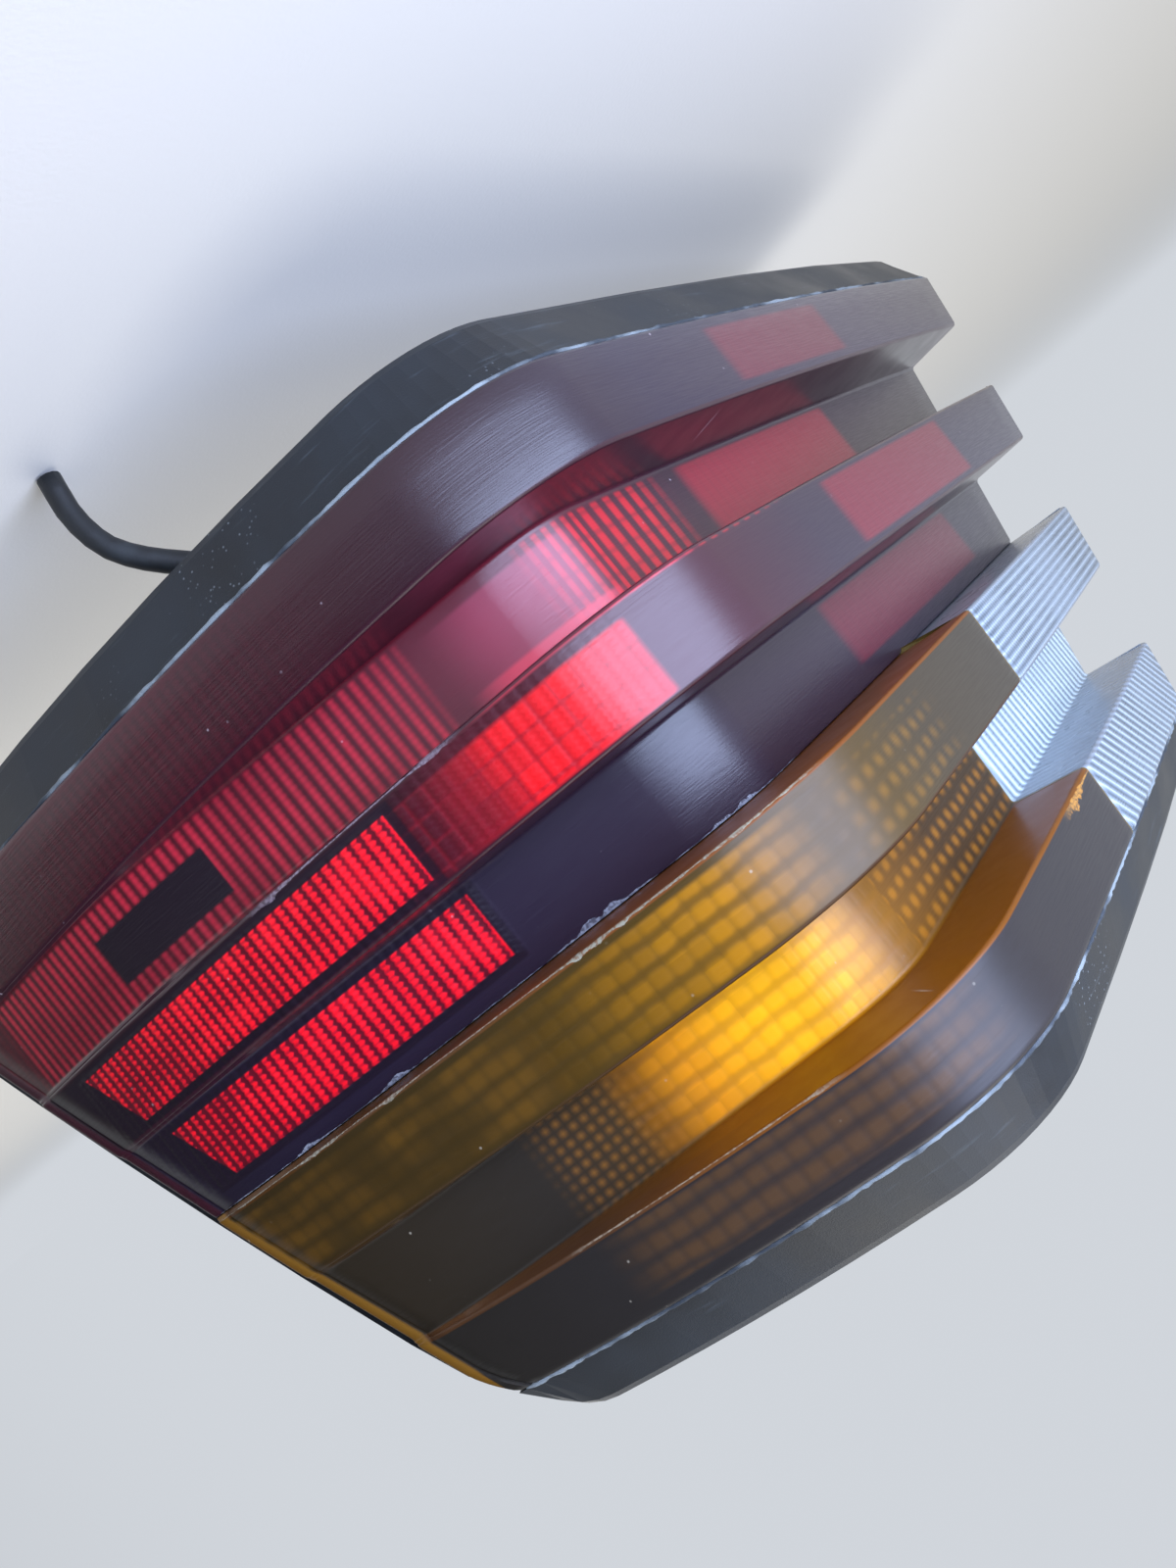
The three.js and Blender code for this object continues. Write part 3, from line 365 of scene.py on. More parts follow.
# ---------------------------------------------------------------- lens finishes
# Cast-in coloured acrylic, polished outside and cut with prisms inside. The prisms show as small
# bright tiles and beads under a clear glossy skin that has gone slightly dull and chipped at edges.
def together(material, *masks):
    """The product of several masks, each a node's output or a number."""
    share = masks[0]
    for mask in masks[1:]:
        share = add(material, "ShaderNodeMath", {0: share, 1: mask}, operation="MULTIPLY")
    return share


def tinted(material, colour, tint, *masks):
    """A tint laid over a colour, as far as all the masks let it."""
    over = linear(tint) if isinstance(tint, str) else tint
    return add(material, "ShaderNodeMix", {"Factor": together(material, *masks), 6: colour, 7: over},
               output=2, data_type="RGBA")


class LensPlace:
    """Places on a lens sheet, in mm: s runs round the lens, z up it. Masks run from 0 to 1."""

    def __init__(self, material):
        self.material = material
        self.vector = add(material, "ShaderNodeAttribute", output="Vector", attribute_name="lens_place")
        axes = add(material, "ShaderNodeSeparateXYZ", {"Vector": self.vector}).node
        self.s, self.z = axes.outputs["X"], axes.outputs["Y"]

    def slanted(self, lean):
        """Runs round the lens like s, and leans with the height."""
        shift = add(self.material, "ShaderNodeMath", {0: self.z, 1: lean}, operation="MULTIPLY")
        return add(self.material, "ShaderNodeMath", {0: self.s, 1: shift}, operation="ADD")

    def within(self, value, low, high, soft=0.25):
        """1 between low and high, with soft sides."""
        enter = add(self.material, "ShaderNodeMapRange", {
            "Value": value, "From Min": low - soft, "From Max": low + soft,
        }, **SMOOTH)
        leave = add(self.material, "ShaderNodeMapRange", {
            "Value": value, "From Min": high - soft, "From Max": high + soft, "To Min": 1.0, "To Max": 0.0,
        }, **SMOOTH)
        return together(self.material, enter, leave)

    def patch(self, s_low, s_high, z_low, z_high, soft=0.3):
        """A rectangle whose upright sides fade over the soft distance."""
        return together(self.material, self.within(self.s, s_low, s_high, soft),
                        self.within(self.z, z_low, z_high, min(soft, 0.6)))

    def tiles(self, value, pitch):
        """From 0 on the lines between tiles to 1 in the middle of each."""
        saw = add(self.material, "ShaderNodeMath", {0: value, 1: pitch / 2}, operation="PINGPONG")
        return add(self.material, "ShaderNodeMath", {0: saw, 1: pitch / 2}, operation="DIVIDE")

    def tile_tone(self, along, up, least):
        """Each tile passes a slightly different share of the light."""
        corner = add(self.material, "ShaderNodeVectorMath", {0: self.vector, 1: (along, up, 1000.0)},
                     operation="SNAP")
        chance = add(self.material, "ShaderNodeTexWhiteNoise", {"Vector": corner})
        return add(self.material, "ShaderNodeMapRange", {"Value": chance, "To Min": least}, **SMOOTH)

    def colours_along(self, value, *stops):
        """Colours at given places, running into each other between them."""
        low, high = stops[0][0], stops[-1][0]
        past = add(self.material, "ShaderNodeMath", {0: value, 1: low}, operation="SUBTRACT")
        share = add(self.material, "ShaderNodeMath", {0: past, 1: high - low}, operation="DIVIDE")
        colours = add(self.material, "ShaderNodeValToRGB", {"Fac": share})
        ramp = colours.node.color_ramp
        while len(ramp.elements) < len(stops):
            ramp.elements.new(0.5)
        for element, (place, colour) in zip(ramp.elements, stops):
            element.position = (place - low) / (high - low)
            element.color = linear(colour)
        return colours

    def by_band(self, looks, changes):
        """The look of each band, from the lowest up, and the heights where they change."""
        colour = looks[0]
        for look, change in zip(looks[1:], changes):
            above = add(self.material, "ShaderNodeMath", {0: self.z, 1: change}, operation="GREATER_THAN")
            colour = tinted(self.material, colour, look, above)
        return colour

    def chipped(self, colour, edge, below, above, s_low, s_high, tint, thin=0.5):
        """Frosted chips along a moulded edge, reaching a little below and above it."""
        stretched = add(self.material, "ShaderNodeVectorMath", {0: self.vector, 1: (1.0, 0.35, 1.0)},
                        operation="MULTIPLY")
        torn = add(self.material, "ShaderNodeTexNoise", {"Vector": stretched, "Scale": 0.3, "Detail": 4.0})
        ragged = add(self.material, "ShaderNodeMapRange", {
            "Value": torn, "From Min": 0.3, "From Max": 0.7, "To Min": 0.3, "To Max": 1.15,
        }, **SMOOTH)
        places = add(self.material, "ShaderNodeTexNoise",
                     {"Vector": self.vector, "Scale": 0.045, "Detail": 1.0})
        reach_down = add(self.material, "ShaderNodeMapRange", {
            "Value": places, "From Min": 0.5, "From Max": 0.72, "To Min": thin * 0.35, "To Max": below,
        }, **SMOOTH)
        reach_up = add(self.material, "ShaderNodeMapRange", {
            "Value": places, "From Min": 0.45, "From Max": 0.7, "To Min": thin * 0.3, "To Max": above,
        }, **SMOOTH)
        low = add(self.material, "ShaderNodeMath",
                  {0: edge, 1: together(self.material, reach_down, ragged)}, operation="SUBTRACT")
        high = add(self.material, "ShaderNodeMath",
                   {0: edge, 1: together(self.material, reach_up, ragged)}, operation="ADD")
        over = add(self.material, "ShaderNodeMath", {0: self.z, 1: low}, operation="GREATER_THAN")
        under = add(self.material, "ShaderNodeMath", {0: self.z, 1: high}, operation="LESS_THAN")
        crumbs = add(self.material, "ShaderNodeTexNoise",
                     {"Vector": self.vector, "Scale": 1.1, "Detail": 3.0})
        grain = add(self.material, "ShaderNodeMapRange", {
            "Value": crumbs, "From Min": 0.35, "From Max": 0.6, "To Min": 0.25,
        }, **SMOOTH)
        length = self.within(self.s, s_low, s_high, 6.0)
        return tinted(self.material, colour, tint, over, under, length, grain)

    def dusted(self, colour, amount, tint):
        """Specks of dried dirt, thicker in some places."""
        dust = add(self.material, "ShaderNodeTexVoronoi", {"Vector": self.vector, "Scale": 0.16})
        spots = add(self.material, "ShaderNodeMapRange", {
            "Value": dust, "From Min": 0.03, "From Max": 0.07, "To Min": amount, "To Max": 0.0,
        }, **SMOOTH)
        cloud = add(self.material, "ShaderNodeTexNoise", {"Vector": self.vector, "Scale": 0.06})
        thick = add(self.material, "ShaderNodeMapRange",
                    {"Value": cloud, "From Min": 0.5, "From Max": 0.62}, **SMOOTH)
        return tinted(self.material, colour, tint, spots, thick)

    def finish(self, colour, relief, roughness=0.42, coat=1.0, strength=0.25):
        """Pattern inside, and over it a glossy skin with hairline scratches along the bands."""
        stretched = add(self.material, "ShaderNodeVectorMath", {0: self.vector, 1: (0.1, 2.2, 1.0)},
                        operation="MULTIPLY")
        streaks = add(self.material, "ShaderNodeTexNoise", {"Vector": stretched, "Scale": 1.0, "Detail": 4.0})
        rough = add(self.material, "ShaderNodeMapRange", {
            "Value": streaks, "From Min": 0.3, "From Max": 0.7,
            "To Min": roughness - 0.07, "To Max": roughness + 0.1,
        }, **SMOOTH)
        scratches = add(self.material, "ShaderNodeBump",
                        {"Height": streaks, "Strength": 0.5, "Distance": 0.00016})
        surface(self.material, {
            "Base Color": colour, "Roughness": rough, "Coat Weight": coat, "Coat Roughness": 0.28,
            "Coat IOR": 1.44, "Specular IOR Level": 0.2, "Coat Normal": scratches,
        }, relief, strength, 0.0006)


WALL_EDGE = 0.4  # a step wall takes the look of the sunk band up to this far past its edge
WALL_REACH = 0.9
SIDE_ROLL = (247.2, 247.8)  # where the side end rolls back, on the slanted place

red = new_material("red_acrylic_prismatic")
on_red = LensPlace(red)
red_slanted = on_red.slanted(SIDE_SLANT)
# Each band runs from its rear end round to the side. The greyer, bluer tones at the rear end are painted
# reflection of the pale room, laid over the acrylic's own dark red.
band_1 = on_red.colours_along(
    on_red.s, (-265, "#322838"), (-150, "#352a3a"), (-20, "#21162a"), (20, "#210e19"), (70, "#2c0a14"),
    (120, "#430c19"), (240, "#380a15"), (255, "#380a15"))
band_2 = on_red.colours_along(
    on_red.s, (-265, "#2a1c28"), (-40, "#301624"), (-10, "#481826"), (30, "#5c1422"), (85, "#560e1c"),
    (150, "#5e0f1d"), (225, "#4c0c18"), (255, "#4c0c18"))
band_3 = on_red.colours_along(
    on_red.s, (-265, "#302838"), (-40, "#2a1e2c"), (15, "#3a141f"), (75, "#470b18"), (90, "#2b0a15"),
    (150, "#200a14"), (230, "#190912"), (255, "#190912"))
band_4 = on_red.colours_along(
    on_red.s, (-265, "#2a2230"), (-60, "#281c2a"), (0, "#241622"), (60, "#261a28"), (120, "#241a2a"),
    (180, "#1f1726"), (230, "#20121c"), (255, "#20121c"))
lined = on_red.by_band((band_1, band_2, band_3, band_4),
                       (EDGES[1] + WALL_EDGE, EDGES[2] - WALL_EDGE, EDGES[3] + WALL_EDGE))

# upright prism lines and, between them, rows of small beads with wavy sides
BEAD_PITCH = 3.0
lines = on_red.tiles(on_red.s, BEAD_PITCH)
beads = on_red.tiles(on_red.z, BEAD_PITCH / 2)
wave = add(red, "ShaderNodeMath", {0: beads, 1: 0.5}, operation="MULTIPLY")
scalloped = add(red, "ShaderNodeMath", {0: on_red.s, 1: wave}, operation="ADD")
wavy_lines = on_red.tiles(scalloped, BEAD_PITCH)
row_place = add(red, "ShaderNodeMath", {0: on_red.z, 1: 0.6}, operation="ADD")
rows_of_beads = add(red, "ShaderNodeMapRange", {
    "Value": on_red.tiles(row_place, 3.2), "From Max": 0.5, "To Min": 0.8,
}, **SMOOTH)
bead = together(
    red,
    add(red, "ShaderNodeMapRange", {"Value": wavy_lines, "From Min": 0.08, "From Max": 0.8}, **SMOOTH),
    add(red, "ShaderNodeMapRange", {"Value": beads, "From Max": 0.9, "To Min": 0.55}, **SMOOTH),
    rows_of_beads)

# the two lower bands are darker between the beads on the side of the car, and band 2 glows a little
side_only = add(red, "ShaderNodeMapRange", {"Value": on_red.s, "From Min": 60, "From Max": 110}, **SMOOTH)
gaps = add(red, "ShaderNodeMapRange", {"Value": bead, "To Min": 0.9, "To Max": 0.0}, **SMOOTH)
lined = tinted(red, lined, "#220810", gaps, on_red.patch(40, 260, 2, 48, 2.0), side_only, 0.55)
cloud = add(red, "ShaderNodeTexNoise", {"Vector": on_red.vector, "Scale": 0.06, "Detail": 3.0})
dull_bead = together(
    red,
    add(red, "ShaderNodeMapRange", {"Value": lines, "From Min": 0.05}, **SMOOTH),
    add(red, "ShaderNodeMapRange", {"Value": beads, "To Min": 0.78}, **SMOOTH),
    add(red, "ShaderNodeMapRange",
        {"Value": cloud, "From Min": 0.3, "From Max": 0.65, "To Min": 0.55}, **SMOOTH))
lined = tinted(red, lined, "#c22236", on_red.patch(74, 215, 24.5, 47.2, 3.0), dull_bead, 0.8)

# rear rectangles, the tinted filters in front of the lower bulbs
filter_tiles = add(red, "ShaderNodeMapRange", {
    "Value": on_red.tiles(on_red.s, 4.0), "From Max": 0.6, "To Min": 0.88,
}, **SMOOTH)
for s_low, s_high, z_low, z_high, tint, amount in (
    (-133, -62, 3.5, 19.5, "#6e1a2c", 0.6), (-143, -46, 25, 47, "#8c1428", 0.75),
    (-152, -58, 50.5, 68.5, "#78182a", 0.7), (-168, -58, 73, 91, "#6c162a", 0.7),
):
    area = on_red.patch(s_low, s_high, z_low, z_high, 3.0)
    lined = tinted(red, lined, tint, area, filter_tiles, amount)

# upright stripes on the sunk band at the bend, and the light that the bend gathers
STRIPE_PITCH = 5.2
stripe_along = add(red, "ShaderNodeMapRange", {
    "Value": on_red.tiles(on_red.s, STRIPE_PITCH), "From Min": 0.25, "From Max": 0.75,
}, **SMOOTH)
stripe_up = add(red, "ShaderNodeMapRange", {
    "Value": on_red.tiles(on_red.z, STRIPE_PITCH), "From Max": 0.4, "To Min": 0.6,
}, **SMOOTH)
lined = tinted(red, lined, "#c01828", on_red.patch(-30, 30, 24.8, 49.4, 9.0), stripe_along, stripe_up, 0.85)
lined = tinted(red, lined, "#a83a52", on_red.patch(14, 62, 27, 47, 9.0), 0.45)
lined = tinted(red, lined, "#e0384c", on_red.patch(8, 62, 43.6, 49.5, 7.0), 0.6)

# square pillows in front of the stop lamp, lit from behind
PILLOW_ALONG, PILLOW_UP = 5.4, 5.2
pillow_place = add(red, "ShaderNodeMath", {0: on_red.z, 1: -0.4}, operation="ADD")
pillow = together(
    red,
    add(red, "ShaderNodeMapRange",
        {"Value": on_red.tiles(on_red.s, PILLOW_ALONG), "From Max": 0.4, "To Min": 0.5}, **SMOOTH),
    add(red, "ShaderNodeMapRange",
        {"Value": on_red.tiles(pillow_place, PILLOW_UP), "From Max": 0.32, "To Min": 0.5}, **SMOOTH))
pillow_colour = on_red.colours_along(
    on_red.s, (20, "#982038"), (32, "#cc1424"), (44, "#ee1018"), (62, "#dd0c16"), (72, "#8c0d1a"),
    (84, "#4c0a18"), (100, "#380a16"))
pillows = on_red.patch(30, 98, 52.4, 69.6, 1.2)
pillow_sides = add(red, "ShaderNodeMapRange",
                   {"Value": pillow, "From Min": 0.3, "To Min": 0.55, "To Max": 0.0}, **SMOOTH)
lined = tinted(red, lined, pillow_colour, pillows, on_red.tile_tone(PILLOW_ALONG, PILLOW_UP, 0.72))
lined = tinted(red, lined, "#780a1c", pillows, pillow_sides)

# two reflex blocks: bright rows of beads in a dark frame, cut off along the slanted side end
BLOCK_END = 231.5
worn = add(red, "ShaderNodeTexNoise", {"Vector": on_red.vector, "Scale": 0.09, "Detail": 4.0})
wear = add(red, "ShaderNodeMapRange", {
    "Value": worn, "From Min": 0.3, "From Max": 0.7, "To Min": -0.3, "To Max": 0.1,
}, **SMOOTH)
fading = add(red, "ShaderNodeMapRange", {
    "Value": red_slanted, "From Min": 170, "From Max": 235, "To Min": 0.05, "To Max": -0.22,
}, **SMOOTH)
uneven = add(red, "ShaderNodeMath", {0: wear, 1: fading}, operation="ADD")
lit = on_red.colours_along(
    add(red, "ShaderNodeMath", {0: bead, 1: uneven}, operation="ADD"),
    (0.0, "#5e0418"), (0.3, "#bc0520"), (0.7, "#f4061e"), (1.0, "#ff182c"))
for s_low, z_low, z_high in ((91.5, 51.8, 68.0), (94.5, 74.2, 90.3)):
    frame_start = add(red, "ShaderNodeMapRange",
                      {"Value": on_red.s, "From Min": s_low - 3, "From Max": s_low - 2}, **SMOOTH)
    frame_end = add(red, "ShaderNodeMapRange", {
        "Value": red_slanted, "From Min": BLOCK_END + 8, "From Max": BLOCK_END + 10,
        "To Min": 1.0, "To Max": 0.0,
    }, **SMOOTH)
    frame_rows = on_red.within(on_red.z, z_low - 2.0, z_high + 2.0, 0.3)
    lined = tinted(red, lined, "#1a0e1a", frame_rows, frame_start, frame_end, 0.8)
    block_start = add(red, "ShaderNodeMapRange",
                      {"Value": on_red.s, "From Min": s_low - 0.3, "From Max": s_low + 0.3}, **SMOOTH)
    block_end = add(red, "ShaderNodeMapRange", {
        "Value": red_slanted, "From Min": BLOCK_END - 0.4, "From Max": BLOCK_END + 0.4,
        "To Min": 1.0, "To Max": 0.0,
    }, **SMOOTH)
    lined = tinted(red, lined, lit, on_red.within(on_red.z, z_low, z_high), block_start, block_end)

# a dark window over the side bulb, the step walls, the rolled side end, and wear
lined = tinted(red, lined, "#1b1018", on_red.patch(134, 171, 30.2, 42.2, 0.4))
for edge in EDGES[1:4]:
    wall = on_red.within(on_red.z, edge - WALL_REACH, edge + WALL_REACH, 0.15)
    lined = tinted(red, lined, "#30101c", wall, 0.9)
rolled = add(red, "ShaderNodeMapRange",
             {"Value": red_slanted, "From Min": SIDE_ROLL[0], "From Max": SIDE_ROLL[1]}, **SMOOTH)
lined = tinted(red, lined, "#33101a", rolled)
lined = on_red.chipped(lined, 96.0, 1.9, 0.5, -4, 196, "#8b8e98", 0.8)
lined = on_red.chipped(lined, EDGES[2] + 0.6, 1.6, 1.2, 72, 128, "#80707a", 0.8)
lined = on_red.dusted(lined, 0.5, "#b8a9ae")
carved = add(red, "ShaderNodeMath", {
    0: on_red.patch(30, 90, 49.5, 68.8, 1.0), 1: on_red.patch(92, 205, 51, 91, 1.0),
}, operation="MAXIMUM")
bumps = add(red, "ShaderNodeMath", {0: bead, 1: pillow}, operation="ADD")
on_red.finish(lined, together(red, bumps, carved))
red_lens.data.materials.append(red)

amber = new_material("amber_acrylic_prismatic")
on_amber = LensPlace(amber)
amber_slanted = on_amber.slanted(SIDE_SLANT)
# The lowest and the top band turn greyer towards the rear end: painted reflection of the pale room, laid over
# the amber's own brown.
band_5 = on_amber.colours_along(
    on_amber.s, (-80, "#3b342a"), (-20, "#3a3022"), (15, "#4a3718"), (60, "#46320c"), (110, "#38290f"),
    (220, "#30240f"), (230, "#30240f"))
band_6 = on_amber.colours_along(
    on_amber.s, (-80, "#3a2812"), (-30, "#40280c"), (0, "#7a4c08"), (60, "#9a6004"), (95, "#3a2a14"),
    (120, "#29231c"), (220, "#2c2212"), (230, "#2c2212"))
band_7 = on_amber.colours_along(
    on_amber.s, (-80, "#322e2c"), (-20, "#2a2625"), (40, "#292322"), (100, "#262220"),
    (220, "#252016"), (230, "#252016"))
colour = on_amber.by_band((band_5, band_6, band_7), (EDGES[5] + WALL_EDGE, EDGES[6] - WALL_EDGE))

# pillows: rows that wander slightly, cells of even length, each cell with its own share of light
CELL_ALONG, CELL_UP = 5.0, 5.2
drift = add(amber, "ShaderNodeTexNoise", {"Vector": on_amber.vector, "Scale": 0.07, "Detail": 1.0})
wander = add(amber, "ShaderNodeMapRange", {
    "Value": drift, "From Min": 0.2, "From Max": 0.8, "To Min": -0.55, "To Max": 0.55,
}, **SMOOTH)
first_row = add(amber, "ShaderNodeMath", {0: on_amber.z, 1: 1.4}, operation="ADD")
row_lines = on_amber.tiles(
    add(amber, "ShaderNodeMath", {0: first_row, 1: wander}, operation="ADD"), CELL_UP)
cell_lines = on_amber.tiles(on_amber.s, CELL_ALONG)
cell = together(
    amber,
    add(amber, "ShaderNodeMapRange", {"Value": row_lines, "From Max": 0.75, "To Min": 0.3}, **SMOOTH),
    add(amber, "ShaderNodeMapRange", {"Value": cell_lines, "From Max": 0.6, "To Min": 0.72}, **SMOOTH))
cell_tone = on_amber.tile_tone(CELL_ALONG, CELL_UP, 0.78)
lit_6 = on_amber.colours_along(
    on_amber.s, (-20, "#6a420c"), (0, "#6e450c"), (16, "#7c500c"), (38, "#f0a200"), (58, "#ffb000"),
    (80, "#e08a00"), (92, "#7c4a04"), (110, "#3a2a14"))
grid_6 = on_amber.patch(2, 97, 121.4, 143.6, 3.0)
bright_6 = add(amber, "ShaderNodeMapRange", {"Value": cell, "From Min": 0.2, "To Min": 0.55}, **SMOOTH)
colour = tinted(amber, colour, lit_6, grid_6, bright_6, cell_tone)
lit_5 = on_amber.colours_along(
    on_amber.s, (0, "#382c20"), (26, "#4a381c"), (48, "#a46c0a"), (64, "#8e5e08"), (88, "#53390a"),
    (110, "#2c200c"))
grid_5 = on_amber.patch(20, 98, 99.5, 118.4, 2.0)
bright_5 = add(amber, "ShaderNodeMapRange",
               {"Value": cell, "From Min": 0.2, "To Min": 0.3, "To Max": 0.95}, **SMOOTH)
colour = tinted(amber, colour, lit_5, grid_5, bright_5, cell_tone)

# round dots with dark lines between them, on the rear part of both bands
dots = together(
    amber,
    add(amber, "ShaderNodeMapRange", {"Value": cell_lines, "From Max": 0.95}, **SMOOTH),
    add(amber, "ShaderNodeMapRange", {"Value": row_lines, "From Min": 0.1, "From Max": 0.95}, **SMOOTH))
dotted = on_amber.patch(-82, 2, 121.4, 143.8, 1.0)
between_dots = add(amber, "ShaderNodeMapRange",
                   {"Value": dots, "From Max": 0.8, "To Min": 0.3, "To Max": 0.0}, **SMOOTH)
colour = tinted(amber, colour, "#9a6010", dotted, dots, 0.62)
colour = tinted(amber, colour, "#2a1e12", dotted, between_dots)
colour = tinted(amber, colour, "#96661c", on_amber.patch(-26, 18, 101, 117, 9.0), dots, 0.26)

# faint cells on the top band, fine dots before the side of the sunk band, and haze on the lowest
top_cells = on_amber.patch(24, 108, 146.5, 161, 9.0)
colour = tinted(amber, colour, "#664420", top_cells, cell, 0.4)
colour = tinted(amber, colour, "#8e5a1c", on_amber.patch(92, 116, 121, 144, 5.0),
                on_amber.tiles(on_amber.z, 2.6), on_amber.tiles(on_amber.s, 2.8), 0.55)
cloud = add(amber, "ShaderNodeTexNoise", {"Vector": on_amber.vector, "Scale": 0.05})
haze = add(amber, "ShaderNodeMapRange", {
    "Value": cloud, "From Min": 0.35, "From Max": 0.7, "To Min": 0.08, "To Max": 0.5,
}, **SMOOTH)
colour = tinted(amber, colour, "#6e4a12", on_amber.patch(98, 215, 99.5, 118, 6.0), cell, haze)

# the step walls, the rolled side end, the joint with the clear acrylic, and wear
tone = add(amber, "ShaderNodeMapRange", {
    "Value": on_amber.s, "From Min": 60, "From Max": 120, "To Min": 1.0, "To Max": 0.35,
}, **SMOOTH)
for edge, tint in ((EDGES[4], "#6e3a0c"), (EDGES[5], "#3c220a"), (EDGES[6], "#6e3c04")):
    wall = on_amber.within(on_amber.z, edge - WALL_REACH, edge + WALL_REACH, 0.15)
    colour = tinted(amber, colour, tint, wall, tone)
rolled = add(amber, "ShaderNodeMapRange",
             {"Value": amber_slanted, "From Min": SIDE_ROLL[0], "From Max": SIDE_ROLL[1]}, **SMOOTH)
colour = tinted(amber, colour, "#6b4812", rolled)
joint_edge = add(amber, "ShaderNodeMapRange", {
    "Value": on_amber.slanted(-JOINT_SLANT), "From Min": -90.7, "From Max": -89.6,
    "To Min": 1.0, "To Max": 0.0,
}, **SMOOTH)
colour = tinted(amber, colour, "#6e5a2c", joint_edge)
colour = on_amber.chipped(colour, EDGES[4] + 0.2, 0.2, 0.9, 20, 196, "#8f8a78", 0.3)
colour = on_amber.chipped(colour, EDGES[6] + 0.3, 0.6, 0.8, 55, 118, "#8d7c66", 0.4)
colour = on_amber.chipped(colour, EDGES[6] + 1.2, 1.0, 3.0, -80, -50, "#b07a34", 0.7)
colour = on_amber.dusted(colour, 0.5, "#a39a88")
grids = add(amber, "ShaderNodeMath", {0: grid_5, 1: grid_6}, operation="MAXIMUM")
prisms = add(amber, "ShaderNodeMath", {0: grids, 1: top_cells}, operation="MAXIMUM")
on_amber.finish(colour, together(amber, cell, prisms), coat=0.36)
amber_lens.data.materials.append(amber)

clear = new_material("clear_acrylic_fluted")
on_clear = LensPlace(clear)
# flutes: level with fine upright ones on the lowest band, upright on the sunk one, slanted on top
level_part = together(clear, on_clear.tiles(on_clear.z, 2.3), 0.75)
upright_part = together(clear, on_clear.tiles(on_clear.s, 1.6), 0.25)
flutes_5 = add(clear, "ShaderNodeMath", {0: level_part, 1: upright_part}, operation="ADD")
flutes_6 = on_clear.tiles(on_clear.s, 3.8)
flutes_7 = on_clear.tiles(on_clear.slanted(0.7), 4.2)
above_5 = add(clear, "ShaderNodeMath", {0: on_clear.z, 1: EDGES[5] + WALL_EDGE}, operation="GREATER_THAN")
above_6 = add(clear, "ShaderNodeMath", {0: on_clear.z, 1: EDGES[6] - WALL_EDGE}, operation="GREATER_THAN")
flutes = add(clear, "ShaderNodeMix", {"Factor": above_5, 2: flutes_5, 3: flutes_6})
flutes = add(clear, "ShaderNodeMix", {"Factor": above_6, 2: flutes, 3: flutes_7})
raised_silver = on_clear.colours_along(
    flutes, (0.0, "#3f4950"), (0.35, "#5e6870"), (0.7, "#828d94"), (1.0, "#b2bdc3"))
sunk_silver = on_clear.colours_along(
    flutes, (0.0, "#6c7b84"), (0.35, "#95a5ae"), (0.7, "#bfd0d8"), (1.0, "#e2eef2"))
sunk = on_clear.within(on_clear.z, EDGES[5] + WALL_EDGE, EDGES[6] - WALL_EDGE)
silver = tinted(clear, raised_silver, sunk_silver, sunk)
mist = add(clear, "ShaderNodeTexNoise", {"Vector": on_clear.vector, "Scale": 0.03})
cloud = add(clear, "ShaderNodeMapRange",
            {"Value": mist, "From Min": 0.35, "From Max": 0.65, "To Max": 0.35}, **SMOOTH)
silver = tinted(clear, silver, "#8d979f", cloud)
for edge in EDGES[4:7]:
    wall = on_clear.within(on_clear.z, edge - WALL_REACH, edge + WALL_REACH, 0.15)
    silver = tinted(clear, silver, "#7d838a", wall, 0.85)
on_clear.finish(silver, flutes, 0.3, coat=0.7, strength=0.6)
clear_lens.data.materials.append(clear)


# ---------------------------------------------------------------- tray with its rims
# The tray is one moulding of black ABS, satin, with a fine spark-eroded grain. The rims are dusty,
# faintly scuffed along the edge, and speckled where dirt has dried on.
def smooth_copy(name, node, body, angle):
    """A CAD piece with its round faces shaded smooth, in place of the plain one."""
    bpy.ops.object.select_all(action="DESELECT")
    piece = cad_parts[node].copy()
    piece.data = piece.data.copy()
    for key in list(piece.keys()):
        del piece[key]
    piece.parent = None
    piece.name = name
    bpy.context.scene.collection.objects.link(piece)
    piece.select_set(True)
    bpy.context.view_layer.objects.active = piece
    bpy.ops.object.mode_set(mode="EDIT")
    bpy.ops.mesh.select_all(action="SELECT")
    bpy.ops.mesh.remove_doubles(threshold=0.00001)
    bpy.ops.object.mode_set(mode="OBJECT")
    bpy.ops.object.shade_smooth_by_angle(angle=math.radians(angle))
    piece.data.materials.clear()
    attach(piece, body)
    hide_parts(node)
    return piece


def cloudy(material, base, tint, scale, detail, low=0.35, high=0.7, stretch=(1.0, 1.0, 1.0)):
    """Cloudy patches of a tint over a base colour. Hands back the colour, the place and the clouds."""
    place = add(material, "ShaderNodeTexCoord", output="Object")
    stretched = add(material, "ShaderNodeVectorMath", {0: place, 1: stretch}, operation="MULTIPLY")
    clouds = add(material, "ShaderNodeTexNoise", {"Vector": stretched, "Scale": scale, "Detail": detail})
    patches = add(material, "ShaderNodeMapRange", {
        "Value": clouds, "From Min": low, "From Max": high,
    }, **SMOOTH)
    return tinted(material, linear(base), tint, patches), place, clouds


